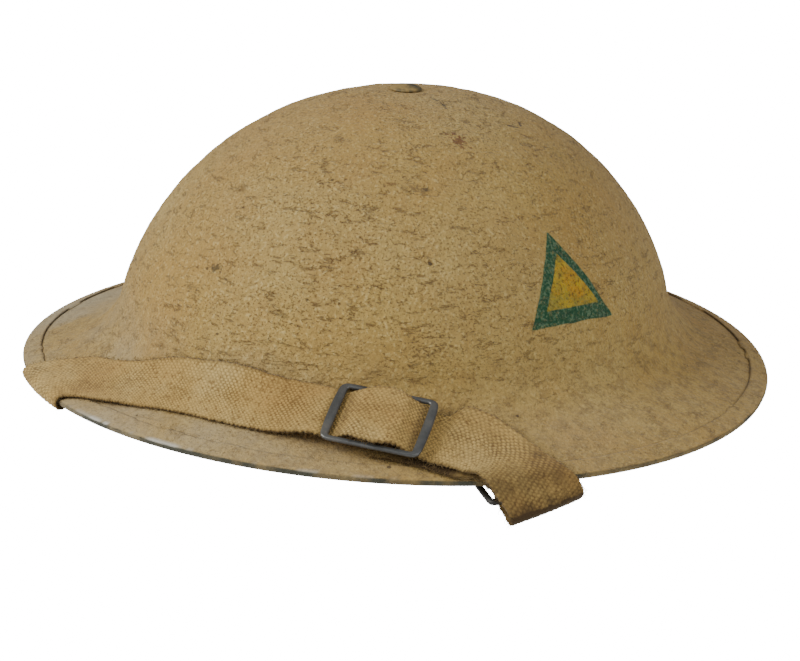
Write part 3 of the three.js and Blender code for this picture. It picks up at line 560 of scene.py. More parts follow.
def makeBinding():
    turn = np.linspace(0, 2 * math.pi, binding["turns"], endpoint=False)
    slope = math.radians(helmet["brimSlope"])
    along, up = (-math.cos(slope), math.sin(slope)), (math.sin(slope), math.cos(slope))
    build, width, sheet = helmet["bindingBuild"], helmet["bindingWidth"], helmet["bindingSheet"]
    bottom = -helmet["wall"] - helmet["clearance"]
    cracked = smoothStep(bandNoise(turn, binding["crackSize"], 3.3), -0.2, 0.05)
    cracked = cracked * (1 - 0.9 * nearTurn(turn, *binding["whole"]))
    reach = binding["filletReach"]
    # stations of the section as (inset, lift): the painted-over inner edge when filled, and when cracked open
    filled = [(width + reach, 0.1), (width + reach * 0.6, 0.28), (width + reach * 0.25, 0.56),
              (width - 0.2, build)]
    opened = [(width + 0.06, 0.1), (width + 0.03, 0.3), (width, 0.55), (width - 0.35, build)]
    crest = [(inset, build) for inset in np.linspace(width - 1.0, 0.6, 7)]
    quarter = np.linspace(0, math.pi / 2, 5)
    corner = [(-build * math.cos(a), build * math.sin(a)) for a in quarter[::-1]]
    under = bottom - sheet
    lower = [(-build * math.cos(a), under + build * (1 - math.sin(a))) for a in quarter]
    belly = [(inset, under) for inset in np.linspace(0.6, width - 0.3, 4)]
    gap = helmet["clearance"]
    closing = [(width, under + 0.2), (width, bottom), (-gap, bottom), (-gap, gap)]
    fixed = crest + corner + lower + belly + closing
    stations = [[tuple((1 - c) * np.array(f) + c * np.array(o)) for f, o in zip(filled, opened)] + fixed
                for c in cracked]
    grid = np.array(stations)
    count = grid.shape[1]
    edge = bandNoise(turn, binding["waverSize"], 1.2) * binding["waver"]
    grid[:, :5, 0] += edge[:, None]
    rim, height = rimRadius(turn)[:, None], rimHeight(turn)[:, None]
    radius = rim + along[0] * grid[..., 0] + up[0] * grid[..., 1]
    z = height + along[1] * grid[..., 0] + up[1] * grid[..., 1] - helmet["mouthHeight"]
    points = polarGrid(turn, radius, z)
    lumps = noiseField(points[:, 3:11], binding["lumpSize"], 3, 6.0) * binding["lumps"]
    points[:, 3:11, 2] += lumps
    piece = meshObject("rimStrip", points.reshape(-1, 3) * mm,
                       gridFaces(binding["turns"], count, 0, True, True, flip=True), rimPaint)
    # the open crack along the strip's inner edge is darkened as painted shade
    crackShade = np.zeros((binding["turns"], count))
    crackShade[:, :3] = cracked[:, None]
    crackShade[:, 3] = cracked * 0.35
    rubbed = 0.35 * smoothStep(bandNoise(turn, binding["rubbedSize"], 7.7), 0.1, 0.3)
    rubbed = rubbed * nearTurn(turn, *binding["rubbed"])
    for place in binding["bright"]:
        rubbed = np.maximum(rubbed, nearTurn(turn, *place))
    bright = np.zeros_like(crackShade)
    bright[:, 10:14] = rubbed[:, None] * np.array([0.5, 1, 1, 0.5])
    dark = np.zeros_like(crackShade)
    worn = 0.55 + 0.45 * smoothStep(bandNoise(turn, binding["wornSize"], 2.1), -0.2, 0.25)
    dark[:, 13:26] = worn[:, None]
    dark[:, 12] = worn * 0.45
    giveAttribute(piece, "crackShade", crackShade.ravel())
    giveAttribute(piece, "bright", bright.ravel())
    giveAttribute(piece, "dark", dark.ravel())
    dress(piece, "rim_binding")


makeBinding()
print("rim strip")


screw = dict(headRadius=6.5, headHeight=2.0, shankRadius=2.4, nutRadius=6.0, nutHeight=3.5, nutBevel=0.4,
             edge=0.2, lumps=0.16, lumpSize=2.6, turns=64)


def screwMaterial():
    # a steel screw, painted with the helmet and worn back to dark enamel in places on its head
    material, tree, shader, add = newMaterial("enamelled screw with sand paint rubbed off")
    patch = add("TexNoise", add("TexCoord", out="Object"), Scale=scaleFor(3.0), Detail=5.0, Roughness=0.7)
    colour = add("ValToRGB", patch, stops=[(0.36, "#46412f"), (0.47, "#70623f"), (0.58, "#9c8450")])
    finishMaterial(tree, shader, colour, patch, 0.6, 0.3, Roughness=0.6)
    return material


def makeScrew():
    gap, nut, bevel, edge = helmet["clearance"], screw["nutRadius"], screw["nutBevel"], screw["edge"]
    top, seat = (float(bowlRise(np.array(0.0), np.array(radius)) - helmet["mouthHeight"])
                 for radius in (helmet["holeRadius"], screw["headRadius"]))
    seat += gap
    under = top - 2 * helmet["wall"] - gap
    foot = under - screw["nutHeight"]
    head, high = screw["headRadius"], top + gap + screw["headHeight"]
    profile = [(0.01, foot), (nut - bevel, foot), (nut, foot + bevel), (nut, under - 0.3), (nut - 0.3, under),
               (screw["shankRadius"], under), (screw["shankRadius"], top + gap), (head - edge, seat),
               (head, seat + edge)]
    for a in np.linspace(0.15, math.pi / 2, 9):
        rise = high - seat - 0.25
        profile.append((max(head * math.cos(a) ** 1.3, 0.01), seat + 0.25 + rise * math.sin(a) ** 0.9))
    profile = np.array(profile)
    turn = np.linspace(0, 2 * math.pi, screw["turns"], endpoint=False)
    points = polarGrid(turn, *(np.tile(column, (len(turn), 1)) for column in profile.T))
    lumps = noiseField(points[:, 8:], screw["lumpSize"], 3, 5.5) * screw["lumps"]
    points[:, 8:-1, 2] += lumps[:, :-1]
    count = len(profile)
    faces = [tuple(f) for f in gridFaces(len(turn), count, 0, True)]
    faces += [tuple(range((len(turn) - 1) * count, -1, -count)),
              tuple(range(count - 1, len(turn) * count, count))]
    piece = meshObject("crownScrew", points.reshape(-1, 3) * mm, faces, screwMaterial())
    dress(piece, "crown_screw")


makeScrew()
print("crown screw")


# four even points across the strap at each step of its route, in mm, as in the CAD model, or the two ends
# alone where the four lie on a straight line
strapRoute = [
    [(-96.6, -32.3, 18.7), (-96.6, -27, -5.5)], [(-97, -20.6, 21.2), (-97, -15.4, -3)],
    [(-98.3, -12.9, 22.9), (-98.3, -7.6, -1.3)], [(-97.5, -11.1, 23.3), (-97.5, -5.9, -1)],
    [(-95.7, -10.4, 23.4), (-95.7, -5.2, -0.8)], [(-93.9, -11.1, 23.3), (-93.9, -5.9, -1)],
    [(-93.2, -12.9, 22.9), (-93.2, -7.6, -1.3)], [(-88.2, -44.7, 15.8), (-83.9, -38.6, -7.8)],
    [(-89.5, -70.5, -6), (-71.3, -63.1, -21)], [(-86.8, -94.6, -12.5), (-62.6, -89.2, -12.3)],
    [(-81.9, -115.5, -16.7), (-57.9, -111.1, -12.2)],
    [(-83.9, -126.7, -16.8), (-71.8, -134, -16.5), (-59, -140.2, -16.2), (-45.8, -145.1, -16)],
    [(-84.7, -128, -16.7), (-72.5, -135.4, -16.4), (-59.6, -141.7, -16.2), (-46.2, -146.6, -16)],
    [(-85.5, -129.1, -15.5), (-73.1, -136.6, -15.2), (-60.2, -142.9, -14.9), (-46.6, -147.9, -14.7)],
    [(-85.5, -129.2, -13.7), (-73.2, -136.7, -13.4), (-60.2, -142.9, -13.2), (-46.7, -148, -12.9)],
    [(-84.7, -128, -12.3), (-72.5, -135.4, -12), (-59.6, -141.6, -11.8), (-46.2, -146.6, -11.5)],
    [(-74, -123.1, -8.5), (-63.5, -131.3, -8.9), (-52.1, -138.5, -9.4), (-39.9, -144.8, -10)],
    [(-56.4, -118.2, -4.1), (-48.4, -127.2, -6.1), (-39.4, -135.9, -7.8), (-29.3, -144.1, -8.8)],
    [(-41.5, -120.5, -1.4), (-35.5, -128.2, -4.7), (-28.8, -135.6, -6.8), (-21.4, -143.1, -8)],
    [(-25.9, -121.8, 2.4), (-21.8, -128.3, -2.4), (-17.2, -134.8, -5.4), (-12.4, -141.2, -7.8)],
    [(-10.6, -121.4, 7.3), (-7.7, -127.3, 0.7), (-4.5, -133.2, -3.5), (-1.2, -139, -6.8)],
    [(3.2, -121, 9.5), (5.6, -126.4, 2.4), (8.2, -131.8, -2.4), (10.8, -137.2, -6.3)],
    [(20.9, -118.5, 10.8), (22.6, -123.9, 3), (24.4, -129.3, -2.1), (26.2, -134.7, -6.3)],
    [(39.4, -114.5, 9), (40.9, -120, 3.3), (42.4, -125.6, -1.5), (43.9, -131.2, -6)],
    [(54.1, -106.6, 6.9), (62.8, -127.5, -3.1)], [(59.4, -103.8, 5.7), (68.1, -124.7, -4.3)],
    [(64.2, -102.6, 7.3), (72.9, -123.5, -2.7)], [(67.4, -101.4, 8.8), (76.4, -123.1, -1.6)],
    [(70.4, -98.2, 9.3), (80.3, -122.2, -2.2)], [(76.9, -95.2, 8.6), (86.8, -119.2, -2.8)],
    [(81.1, -95.2, 7.4), (90.1, -116.8, -2.9)], [(83.8, -93.6, 5.4), (92.4, -114.5, -4.6)],
    [(87.5, -90.9, 3), (96.1, -111.8, -7.1)], [(92.5, -87.7, 0.6), (101.2, -108.6, -9.4)],
    [(93.6, -77.2, 1.7), (103.5, -108.3, -9.2)],
    [(101.7, -71.2, -1.4), (104.2, -82.5, -4.4), (106.6, -93.9, -7.4), (108.9, -105.5, -10.2)],
    [(112.3, -70.7, -5.1), (113.2, -81.4, -7.3), (113.7, -92.5, -9), (113.6, -103.7, -11.1)],
    [(127.7, -72.5, -9.8), (124.6, -82.4, -10.2), (120.8, -92.1, -10.7), (116.2, -101.7, -11.2)],
    [(134.5, -72.7, -11.7), (130.4, -82.3, -12.2), (125.5, -91.7, -12.7), (120, -100.7, -13.1)],
    [(138.9, -72, -14), (134.4, -81.5, -15.1), (129.4, -90.8, -16.3), (123.7, -99.8, -17.4)],
    [(141.7, -71.6, -17.5), (137.7, -81, -19), (133, -90.1, -20.5), (127.7, -99, -22)],
    [(142.5, -71.4, -20.1), (139.1, -80.6, -22.3), (135.2, -89.6, -24.5), (130.6, -98.4, -26.6)],
    [(139.8, -70.9, -22.7), (136.8, -79.8, -24.6), (133.2, -88.6, -26.4), (129, -97.2, -28.3)],
    [(137, -70.7, -21.8), (133.6, -79.3, -23.1), (129.6, -87.7, -24.4), (125, -95.9, -25.7)],
    [(136.4, -71.9, -19.2), (132.1, -80.3, -19.9), (127.2, -88.4, -20.6), (121.8, -96.2, -21.2)],
    [(135.7, -73.7, -16.4), (131, -81.8, -16.8), (125.8, -89.7, -17.2), (120.1, -97.3, -17.6)],
    [(134.1, -75, -14.2), (129.4, -83.4, -14.3), (124.2, -91.6, -14.5), (118.4, -99.4, -14.6)],
    [(128.7, -75.5, -12.6), (124.8, -84.4, -12.8), (120.2, -93, -13), (115.1, -101.5, -13.2)],
    [(120.8, -78.5, -10.6), (118.2, -87.6, -11.4), (115, -96.7, -12.3), (111, -105.7, -13.1)],
    [(106.9, -80.6, -7.5), (106.7, -89.6, -9.3), (106.1, -99, -10.3), (104.6, -108.3, -12)],
    [(94.2, -84.8, -4.5), (95.5, -93.3, -6.9), (96.3, -102.1, -9.2), (96.8, -111.3, -10.7)],
    [(84.8, -90.9, -2.3), (86.2, -98.5, -5.6), (87.3, -106.5, -7.9), (88.2, -114.9, -9.5)],
    [(76.4, -96, -0.3), (77.9, -103.3, -4.6), (79.1, -110.9, -7.2), (80.3, -119, -8.8)],
]
tabRoute = [
    [(109.9, -59.1, -10), (97.1, -80.3, -11)], [(119.1, -64.3, -15.4), (106.3, -85.6, -16.4)],
    [(124.8, -67.6, -20.1), (112, -88.8, -21)], [(126.5, -68.6, -20.2), (113.7, -89.8, -21.1)],
    [(127.8, -69.4, -18.8), (115, -90.6, -19.8)], [(127.8, -69.5, -16.8), (115, -90.8, -17.8)],
    [(126.6, -68.9, -15.4), (113.8, -90.1, -16.3)], [(121.2, -55, -15.7), (108.4, -76.2, -16.6)],
    [(116.1, -42.3, -12.8), (103.8, -63.7, -11.2)], [(111.2, -31.2, -12.8), (100, -52.5, -6.9)],
    [(102.5, -20.3, -16.7), (97.9, -35.5, 2.3)], [(93.2, -5.2, -2.4), (93.2, -14.3, 20.7)],
    [(93.9, -3.5, -1.7), (93.9, -12.6, 21.3)], [(95.7, -2.8, -1.5), (95.7, -12, 21.6)],
    [(97.5, -3.5, -1.7), (97.5, -12.6, 21.3)], [(98.3, -5.2, -2.4), (98.3, -14.3, 20.7)],
    [(97, -12.6, -5.3), (97, -21.7, 17.7)], [(96.6, -23.7, -9.7), (96.6, -32.8, 13.4)],
]
strap = dict(width=24.8, thickness=1.5, fineFrom=11, fineStep=0.36, coarseStep=0.75, lanes=91, backLanes=7,
             warpPitch=1.03, weftPitch=1.75, depth=0.28, stray=0.45, straySize=3.5, edgeRound=0.7,
             waver=0.35, waverSize=14.0, loop=0.4, fray=0.5, fraySize=1.3, edgeSoil=0.7, edgeSoilWidth=1.4,
             fluff=0.09, fluffSize=1.6)


def throughPoints(rows, stepsPerRow):
    # centripetal Catmull-Rom through the rows, as the CAD model lofts them
    p = np.concatenate([[2 * rows[0] - rows[1]], rows, [2 * rows[-1] - rows[-2]]])
    out, where = [], []
    for k in range(1, len(p) - 2):
        a, b, c, d = p[k - 1], p[k], p[k + 1], p[k + 2]
        t0, t1, t2 = (np.maximum(np.linalg.norm(q - r, axis=-1, keepdims=True), 1e-6) ** 0.5
                      for q, r in ((b, a), (c, b), (d, c)))
        m1 = ((b - a) / t0 - (c - a) / (t0 + t1) + (c - b) / t1) * t1
        m2 = ((c - b) / t1 - (d - b) / (t1 + t2) + (d - c) / t2) * t1
        for t in np.arange(stepsPerRow) / stepsPerRow:
            out.append((2 * t ** 3 - 3 * t ** 2 + 1) * b + (t ** 3 - 2 * t ** 2 + t) * m1
                       + (3 * t ** 2 - 2 * t ** 3) * c + (t ** 3 - t ** 2) * m2)
            where.append(k - 1 + t)
    out.append(rows[-1])
    where.append(len(rows) - 1)
    return np.array(out), np.array(where)


def acrossLanes(rows, shares):
    # cubic through the four points of each row
    knots = np.array([0, 1 / 3, 2 / 3, 1])
    basis = np.stack([np.prod([(shares - knots[k]) / (knots[j] - knots[k]) for k in range(4) if k != j], 0)
                      for j in range(4)], 0)
    return np.einsum("sjc,jl->slc", rows, basis)


def resampled(route, stepsAt):
    rows = [row if len(row) == 4 else np.linspace(row[0], row[1], 4) for row in route]
    dense, where = throughPoints(np.array(rows, dtype=float), 24)
    middle = (dense[:, 0] + dense[:, -1]) / 2
    run = np.concatenate([[0], np.cumsum(np.linalg.norm(np.diff(middle, axis=0), axis=-1))])
    at, stops = 0.0, []
    while at < run[-1]:
        stops.append(at)
        at += stepsAt(np.interp(at, run, where))
    stops.append(run[-1])
    stops = np.array(stops)
    flat = dense.reshape(len(dense), -1)
    rows = np.stack([np.interp(stops, run, column) for column in flat.T], -1)
    return rows.reshape(-1, 4, 3), stops, np.interp(stops, run, where)


def weaveHeight(run, across):
    # a plain weave: warp ribs along the strap, each rising over every other pick of weft
    rib = across / strap["warpPitch"]
    rise = 0.5 + 0.5 * np.cos(2 * math.pi * (run / strap["weftPitch"] + 0.5 * np.floor(rib)))
    return rise ** 0.8 * np.sin(math.pi * np.mod(rib, 1.0)) ** 0.7


def makeWebbing(name, route, node, fineFrom, soilAndShadeAt):
    s = strap
    rows, run, where = resampled(route, lambda k: s["fineStep"] if k >= fineFrom else s["coarseStep"])
    shares = np.linspace(0, 1, s["lanes"])
    across = shares * s["width"]
    face = acrossLanes(rows, shares)
    side = face[:, -1:] - face[:, :1]
    side = side / np.linalg.norm(side, axis=-1, keepdims=True)
    normal = normalsOf(face)
    # the CAD model's outer face is on the side of run x (upper - lower)
    check = np.cross(np.gradient(face[:, 0], axis=0), face[:, 0] - face[:, -1])
    if np.sum(check * normal[:, 0]) < 0:
        normal = -normal
    line = np.stack([run, run * 0, run * 0], -1)
    waver = noiseField(line, s["waverSize"], 2, 3.0)[:, None] * s["waver"]
    face = face + side * (waver * (shares[None, :] * 2 - 1))[..., None] * 0.5
    # each pick of weft turns back in a small loop at the selvedge, and some are frayed
    loops = s["loop"] * (np.abs(np.sin(math.pi * run / s["weftPitch"])) - 0.5)
    for edge, offset in ((-1, 11.0), (1, 13.0)):
        ragged = loops + noiseField(line, s["fraySize"], 2, offset) * s["fray"]
        near = smoothStep((shares * 2 - 1) * edge, 1 - 2 / s["width"], 1)
        face = face + side * (edge * ragged[:, None] * near[None, :])[..., None]
    fromEdge = np.minimum(across, s["width"] - across)
    rounding = np.sqrt(np.clip(1 - (1 - np.minimum(fromEdge / s["edgeRound"], 1)) ** 2, 0, 1))
    points = np.stack(np.broadcast_arrays(run[:, None], across[None, :], 0.0), -1)
    stray = [noiseField(points, s["straySize"], 3, offset) * s["stray"] for offset in (2.0, 5.0)]
    weave = weaveHeight(run[:, None] + stray[0], across[None, :] + stray[1] * 0.5)
    weave = weave * (0.8 + 0.35 * noiseField(points, 5.0, 2, 6.0))
    fluff = noiseField(points, s["fluffSize"], 2, 8.0) * s["fluff"]
    lift = (s["thickness"] / 2 - s["depth"] + weave * s["depth"] + fluff) * rounding[None, :]
    top = face + normal * lift[..., None]
    picks = np.linspace(0, s["lanes"] - 1, s["backLanes"]).round().astype(int)
    back = (face - normal * (s["thickness"] / 2 - 0.05) * rounding[None, :, None])[:, picks[1:-1]][:, ::-1]
    grid = np.concatenate([top, back], 1)
    count = grid.shape[1]
    faces = [tuple(f) for f in gridFaces(len(run), count, 0, False, True)]
    last = (len(run) - 1) * count
    faces += [tuple(range(count - 1, -1, -1)), tuple(range(last, last + count))]
    uv = np.zeros((len(run), count, 2))
    uv[..., 0] = run[:, None] * mm
    uv[:, :s["lanes"], 1] = across * mm
    uv[:, s["lanes"]:, 1] = across[picks[1:-1]][::-1] * mm
    piece = meshObject(name, grid.reshape(-1, 3) * mm, faces, webbing, uv.reshape(-1, 2))
    weaveAll = np.concatenate([weave * rounding[None, :], np.full((len(run), len(picks) - 2), 0.5)], 1)
    giveAttribute(piece, "weave", weaveAll.ravel())
    around = np.concatenate([shares, shares[picks[1:-1]][::-1]])
    atEdge = 1 - smoothStep(np.minimum(around, 1 - around) * s["width"], 0.0, s["edgeSoilWidth"])
    soilAndShade = np.tile(s["edgeSoil"] * atEdge, (len(run), 1))
    # stretches darkened with soil, and at the fold and along the return run with painted shade as well
    for row, share, length, breadth, depth in soilAndShadeAt:
        atRow = np.interp(row, where, run)
        lengthwise = np.exp(-((run - atRow) / length) ** 2)[:, None]
        crosswise = np.exp(-((around - share) / breadth) ** 2)[None, :]
        soilAndShade = np.maximum(soilAndShade, lengthwise * crosswise * depth)
    giveAttribute(piece, "soilAndShade", soilAndShade.ravel())
    fixNormals(piece)
    dress(piece, node)
    return face, where


def fixNormals(piece):
    build = bmesh.new()
    build.from_mesh(piece.data)
    bmesh.ops.recalc_face_normals(build, faces=build.faces)
    build.to_mesh(piece.data)
    build.free()


# soiling and painted shade, the shade at the fold and along the return run beneath the top layer, as (row of
# the route, share across, mm along, share of the width, depth)
strapSoilAndShade = [(41.4, 0.5, 8.5, 1.6, 1.0), (41.0, 0.5, 1.8, 1.9, 1.6), (38.8, 0.6, 9.0, 1.1, 0.75),
             (36.9, 0.1, 3.0, 0.1, 0.75), (25.6, 0.5, 1.6, 0.9, 0.5), (31.6, 0.5, 1.6, 0.9, 0.6),
             (49.6, 0.5, 24.0, 1.6, 1.5)]
tabSoil = [(8, 0.5, 8.0, 0.9, 0.3)]
strapFace, strapWhere = makeWebbing("chinStrap", strapRoute, "strap", strap["fineFrom"], strapSoilAndShade)
print("chin strap")
makeWebbing("strapTab", tabRoute, "strap_tab", len(tabRoute), tabSoil)
print("strap tab")


edgeFuzz = dict(spacing=0.4, length=1.9, radius=0.08, seed=4)
endFuzz = dict(spacing=0.2, length=2.6, radius=0.06, seed=9)


def fibreTree():
    # short bent hairs, turned and sized at random, at even stops along a line
    tree = bpy.data.node_groups.new("edgeFibres", "GeometryNodeTree")
    add = partial(addNode, tree)
    for label, kind in (("Geometry", "Geometry"), ("Spacing", "Float"), ("Length", "Float"),
                        ("Radius", "Float"), ("Seed", "Int"), ("Material", "Material")):
        tree.interface.new_socket(label, in_out="INPUT", socket_type="NodeSocket" + kind)
    tree.interface.new_socket("Geometry", in_out="OUTPUT", socket_type="NodeSocketGeometry")
    given = tree.nodes.new("NodeGroupInput").outputs
    curve = add("GeometryNodeMeshToCurve", given["Geometry"])
    stops = add("GeometryNodeResampleCurve", mode="LENGTH",
                links={"Curve": curve, "Length": given["Spacing"]})
    fibre = add("GeometryNodeCurvePrimitiveBezierSegment", Resolution=4, Start=(0, 0, 0),
                Start_Handle=(0.0, 0.1, 0.4), End_Handle=(0.25, -0.2, 0.8), End=(0.55, 0.1, 0.9))
    thin = add("GeometryNodeCurvePrimitiveCircle", Resolution=3,
               Radius=add("Math:DIVIDE", given["Radius"], given["Length"]))
    hair = add("GeometryNodeCurveToMesh", links={"Curve": fibre, "Profile Curve": thin}, Fill_Caps=True)
    spin = add("FunctionNodeRandomValue", (-math.pi,) * 3, (math.pi,) * 3, data_type="FLOAT_VECTOR",
               Seed=given["Seed"])
    grow = add("FunctionNodeRandomValue", links={2: 0.25, 3: 1.0}, data_type="FLOAT", Seed=given["Seed"],
               out=1)
    size = add("Math:MULTIPLY", grow, given["Length"])
    hairs = add("GeometryNodeInstanceOnPoints",
                links={"Points": stops, "Instance": hair, "Rotation": spin, "Scale": size})
    finished = add("GeometryNodeSetMaterial", add("GeometryNodeRealizeInstances", hairs),
                   Material=given["Material"])
    tree.links.new(finished, tree.nodes.new("NodeGroupOutput").inputs[0])
    return tree


def fibreMaterial():
    # single cotton fibres pulled out of the selvedge, paler than the soiled weave
    material, tree, shader, add = newMaterial("loose cotton fibres")
    tone = add("TexNoise", add("TexCoord", out="Object"), Scale=scaleFor(6.0), Detail=3.0)
    colour = add("ValToRGB", tone, stops=[(0.35, "#46371f"), (0.5, "#6f5a36"), (0.68, "#a38c60")])
    tree.links.new(colour, shader.inputs["Base Color"])
    shader.inputs["Roughness"].default_value = 0.95
    return material


def makeFibres(name, lines, sizes, tree, material):
    vertices, edges = [], []
    for line in lines:
        first = len(vertices)
        vertices += [tuple(p) for p in line]
        edges += [(first + k, first + k + 1) for k in range(len(line) - 1)]
    mesh = bpy.data.meshes.new(name + "Line")
    mesh.from_pydata(vertices, edges, [])
    line = placed(name + "Line", mesh)
    modifier = line.modifiers.new("fibres", "NODES")
    modifier.node_group = tree
    wanted = {key.capitalize(): sizes[key] * mm for key in ("spacing", "length", "radius")}
    wanted.update(Seed=sizes["seed"], Material=material)
    for socket in tree.interface.items_tree:
        if socket.item_type == "SOCKET" and socket.in_out == "INPUT" and socket.name in wanted:
            modifier[socket.identifier] = wanted[socket.name]
    graph = bpy.context.evaluated_depsgraph_get()
    mesh = bpy.data.meshes.new_from_object(line.evaluated_get(graph))
    bpy.data.objects.remove(line)
    piece = placed(name, mesh)
    mesh.shade_smooth()
    dress(piece, None)


fibres = fibreTree()
cotton = fibreMaterial()
seen = strapWhere >= 12.5
edgeLines = [strapFace[seen][::3, 0] * mm, strapFace[seen][::3, -1] * mm]
makeFibres("strapEdgeFibres", edgeLines, edgeFuzz, fibres, cotton)
atTip = (strapWhere > 40.3) & (strapWhere < 41.6)
ends = [strapFace[-2] * mm, strapFace[-6, 30:] * mm, strapFace[(strapWhere > 45)][::3, -1] * mm,
        strapFace[atTip][:, 0] * mm, strapFace[atTip][:, -1] * mm]
makeFibres("strapEndFibres", ends, endFuzz, fibres, cotton)
print("fibres")


steelPieces = dict(
    strapBuckle=dict(node="buckle", voxel=0.22, smooth=6, broaden=1.0),
    strapRing=dict(node="strap_ring", voxel=0.22, smooth=6, grime=0.85),
    lugRight=dict(node="lug_right", voxel=0.3, smooth=5, grime=0.4),
    lugLeft=dict(node="lug_left", voxel=0.3, smooth=5, grime=0.4),
)


def broadenSides(points, most):
    # the two bars across the strap are hammered a little broader between their corners
    centre = (points.max(0) + points.min(0)) / 2
    along = strapFace[np.searchsorted(strapWhere, 35)] - strapFace[np.searchsorted(strapWhere, 22)]
    along = along.mean(0) / np.linalg.norm(along.mean(0))
    spread = (points - centre) - ((points - centre) @ along)[:, None] * along
    side = np.linalg.svd(spread, full_matrices=False)[2][0]
    t, s = (points - centre) @ along, (points - centre) @ side
    reach, half = np.abs(t).max(), np.abs(s).max()
    push = smoothStep(np.abs(t), reach - 3.4, reach - 0.4) * np.clip(1 - (s / half) ** 2, 0, 1) ** 0.7
    return points + along * (np.sign(t) * push * most)[:, None]


def makeSteel(name, node, voxel, smooth, broaden=0, grime=0.05):
    piece = placed(name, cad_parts[node].data.copy())
    build = bmesh.new()
    build.from_mesh(piece.data)
    bmesh.ops.remove_doubles(build, verts=build.verts, dist=1e-6)
    build.to_mesh(piece.data)
    build.free()
    remesh = piece.modifiers.new("even", "REMESH")
    remesh.mode, remesh.voxel_size = "VOXEL", voxel * mm
    soften = piece.modifiers.new("tumbled", "SMOOTH")
    soften.factor, soften.iterations = 0.5, smooth
    graph = bpy.context.evaluated_depsgraph_get()
    mesh = bpy.data.meshes.new_from_object(piece.evaluated_get(graph))
    piece.modifiers.clear()
    piece.data = mesh
    if broaden:
        points = broadenSides(readAll(mesh.vertices, "co", 3) / mm, broaden)
        mesh.vertices.foreach_set("co", (points * mm).ravel())
    mesh.materials.clear()
    mesh.materials.append(darkSteel)
    mesh.shade_smooth()
    giveAttribute(piece, "edge", cornerness(mesh))
    giveAttribute(piece, "grime", np.full(len(mesh.vertices), grime))
    dress(piece, node)


def cornerness(mesh):
    # how far each point stands out from its neighbours, 0 on flats and 1 on corners
    points, normals = (readAll(mesh.vertices, field, 3) for field in ("co", "normal"))
    pairs = readAll(mesh.edges, "vertices", 2, np.int32)
    value, count = np.zeros(len(points)), np.zeros(len(points))
    for a, b in ((0, 1), (1, 0)):
        step = points[pairs[:, a]] - points[pairs[:, b]]
        np.add.at(value, pairs[:, a], np.einsum("ij,ij->i", step, normals[pairs[:, a]]))
        np.add.at(count, pairs[:, a], np.linalg.norm(step, axis=1))
    bend = value / np.maximum(count, 1e-9)
    for _ in range(2):
        spread, weight = bend.copy(), np.ones(len(points))
        for a, b in ((0, 1), (1, 0)):
            np.add.at(spread, pairs[:, a], bend[pairs[:, b]])
            np.add.at(weight, pairs[:, a], 1)
        bend = spread / weight
    return smoothStep(bend, 0.1, 0.24)


for pieceName, settings in steelPieces.items():
    makeSteel(pieceName, **settings)
print("steel pieces")


stage = dict(floorHeight=-0.30, floorSize=80.0, floor="#fbfbfa", glow=17.0)


def makeStage():
    half = stage["floorSize"] / 2
    material, tree, shader, add = newMaterial("matt white studio paper")
    tone = add("TexNoise", add("TexCoord", out="Object"), Scale=scaleFor(600.0))
    tone = add("ValToRGB", tone, stops=[(0.0, "#f8f8f7"), (1.0, stage["floor"])])
    tree.links.new(tone, shader.inputs["Base Color"])
    shader.inputs["Roughness"].default_value = 0.95
    # lit to pure white where the camera looks, as paper with its own lamps is, without lighting the helmet
    glow = add("Emission", Strength=stage["glow"])
    lit = add("MixShader", add("LightPath", out="Is Camera Ray"), shader.outputs[0], glow)
    output = next(n for n in tree.nodes if n.type == "OUTPUT_MATERIAL")
    tree.links.new(lit, output.inputs["Surface"])
    corners = [(half * x, half * y, stage["floorHeight"]) for x, y in ((-1, -1), (1, -1), (1, 1), (-1, 1))]
    floor = meshObject("floor", corners, [(0, 1, 2, 3)], material, smooth=False)
    world = bpy.data.worlds.new("studio")
    bpy.context.scene.world = world
    world.use_nodes = True
    background = next(n for n in world.node_tree.nodes if n.type == "BACKGROUND")
    background.inputs["Color"].default_value = (1.0, 1.0, 1.0, 1.0)
    background.inputs["Strength"].default_value = lights["world"]


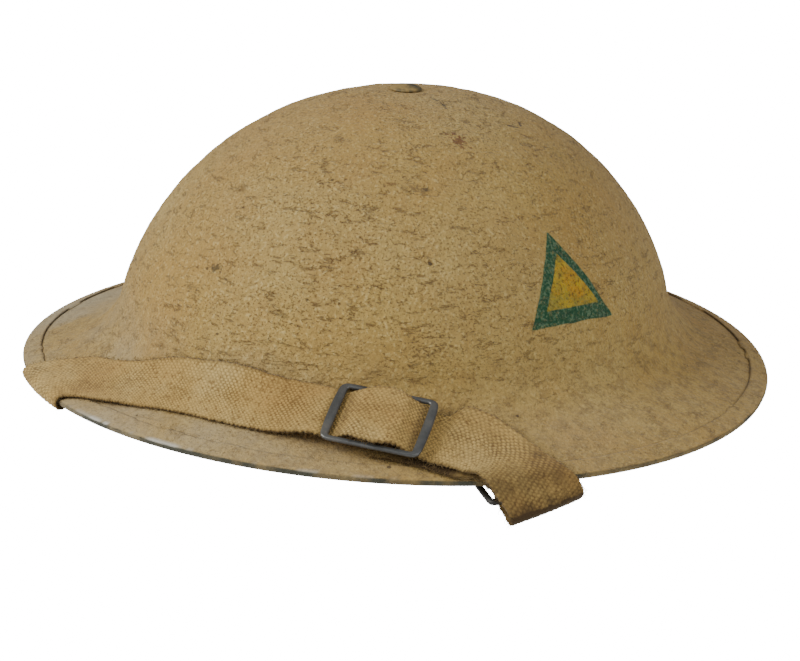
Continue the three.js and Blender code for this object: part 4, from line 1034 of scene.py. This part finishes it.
# azimuth 0 is the front and 90 the wearer's left; distances in metres, power in watts
lights = dict(
    world=0.27, colour=(1.0, 0.98, 0.92),
    soft=[dict(name="key", azimuth=-28, elevation=32, distance=1.6, size=0.9, power=22.5),
          dict(name="fill", azimuth=92, elevation=22, distance=1.9, size=1.4, power=13),
          dict(name="top", azimuth=10, elevation=78, distance=1.5, size=1.0, power=1.8)],
)


def makeLights():
    for light in lights["soft"]:
        data = bpy.data.lights.new(light["name"], "AREA")
        data.shape, data.size, data.energy = "DISK", light["size"], light["power"]
        data.color = lights["colour"]
        item = placed(light["name"], data)
        a, e = math.radians(light["azimuth"]), math.radians(light["elevation"])
        back = Vector((math.sin(a) * math.cos(e), -math.cos(a) * math.cos(e), math.sin(e)))
        item.location = back * light["distance"] + Vector((0, 0, 0.03))
        item.rotation_mode = "QUATERNION"
        item.rotation_quaternion = back.to_track_quat("Z", "Y")


# where the photograph was taken from, in metres: the aim is the point at the picture's centre
camera = dict(azimuth=38.0, elevation=14.43, distance=0.900, pivotHeight=0.041, aimAcross=0.00116,
              aimHeight=-0.00715, roll=2.07, focalPixels=2196.2, pictureWidth=800)


def makeCamera():
    c = camera
    a, e, r = (math.radians(c[k]) for k in ("azimuth", "elevation", "roll"))
    back = Vector((math.sin(a) * math.cos(e), -math.cos(a) * math.cos(e), math.sin(e)))
    eye = Vector((0, 0, c["pivotHeight"])) + back * c["distance"]
    aim = Vector((math.cos(a), math.sin(a), 0)) * c["aimAcross"] + Vector((0, 0, c["aimHeight"]))
    look = (aim - eye).normalized()
    right = look.cross(Vector((0, 0, 1))).normalized()
    up = right.cross(look)
    right, up = right * math.cos(r) + up * math.sin(r), up * math.cos(r) - right * math.sin(r)
    data = bpy.data.cameras.new("camera")
    data.sensor_width = 36.0
    data.lens = c["focalPixels"] * data.sensor_width / c["pictureWidth"]
    item = placed("camera", data)
    turned = Matrix((right, up, -look)).transposed().to_4x4()
    item.matrix_world = Matrix.Translation(eye) @ turned
    data.clip_start, data.clip_end = 0.05, 50.0
    bpy.context.scene.camera = item


makeStage()
makeLights()
makeCamera()
print("stage ready")
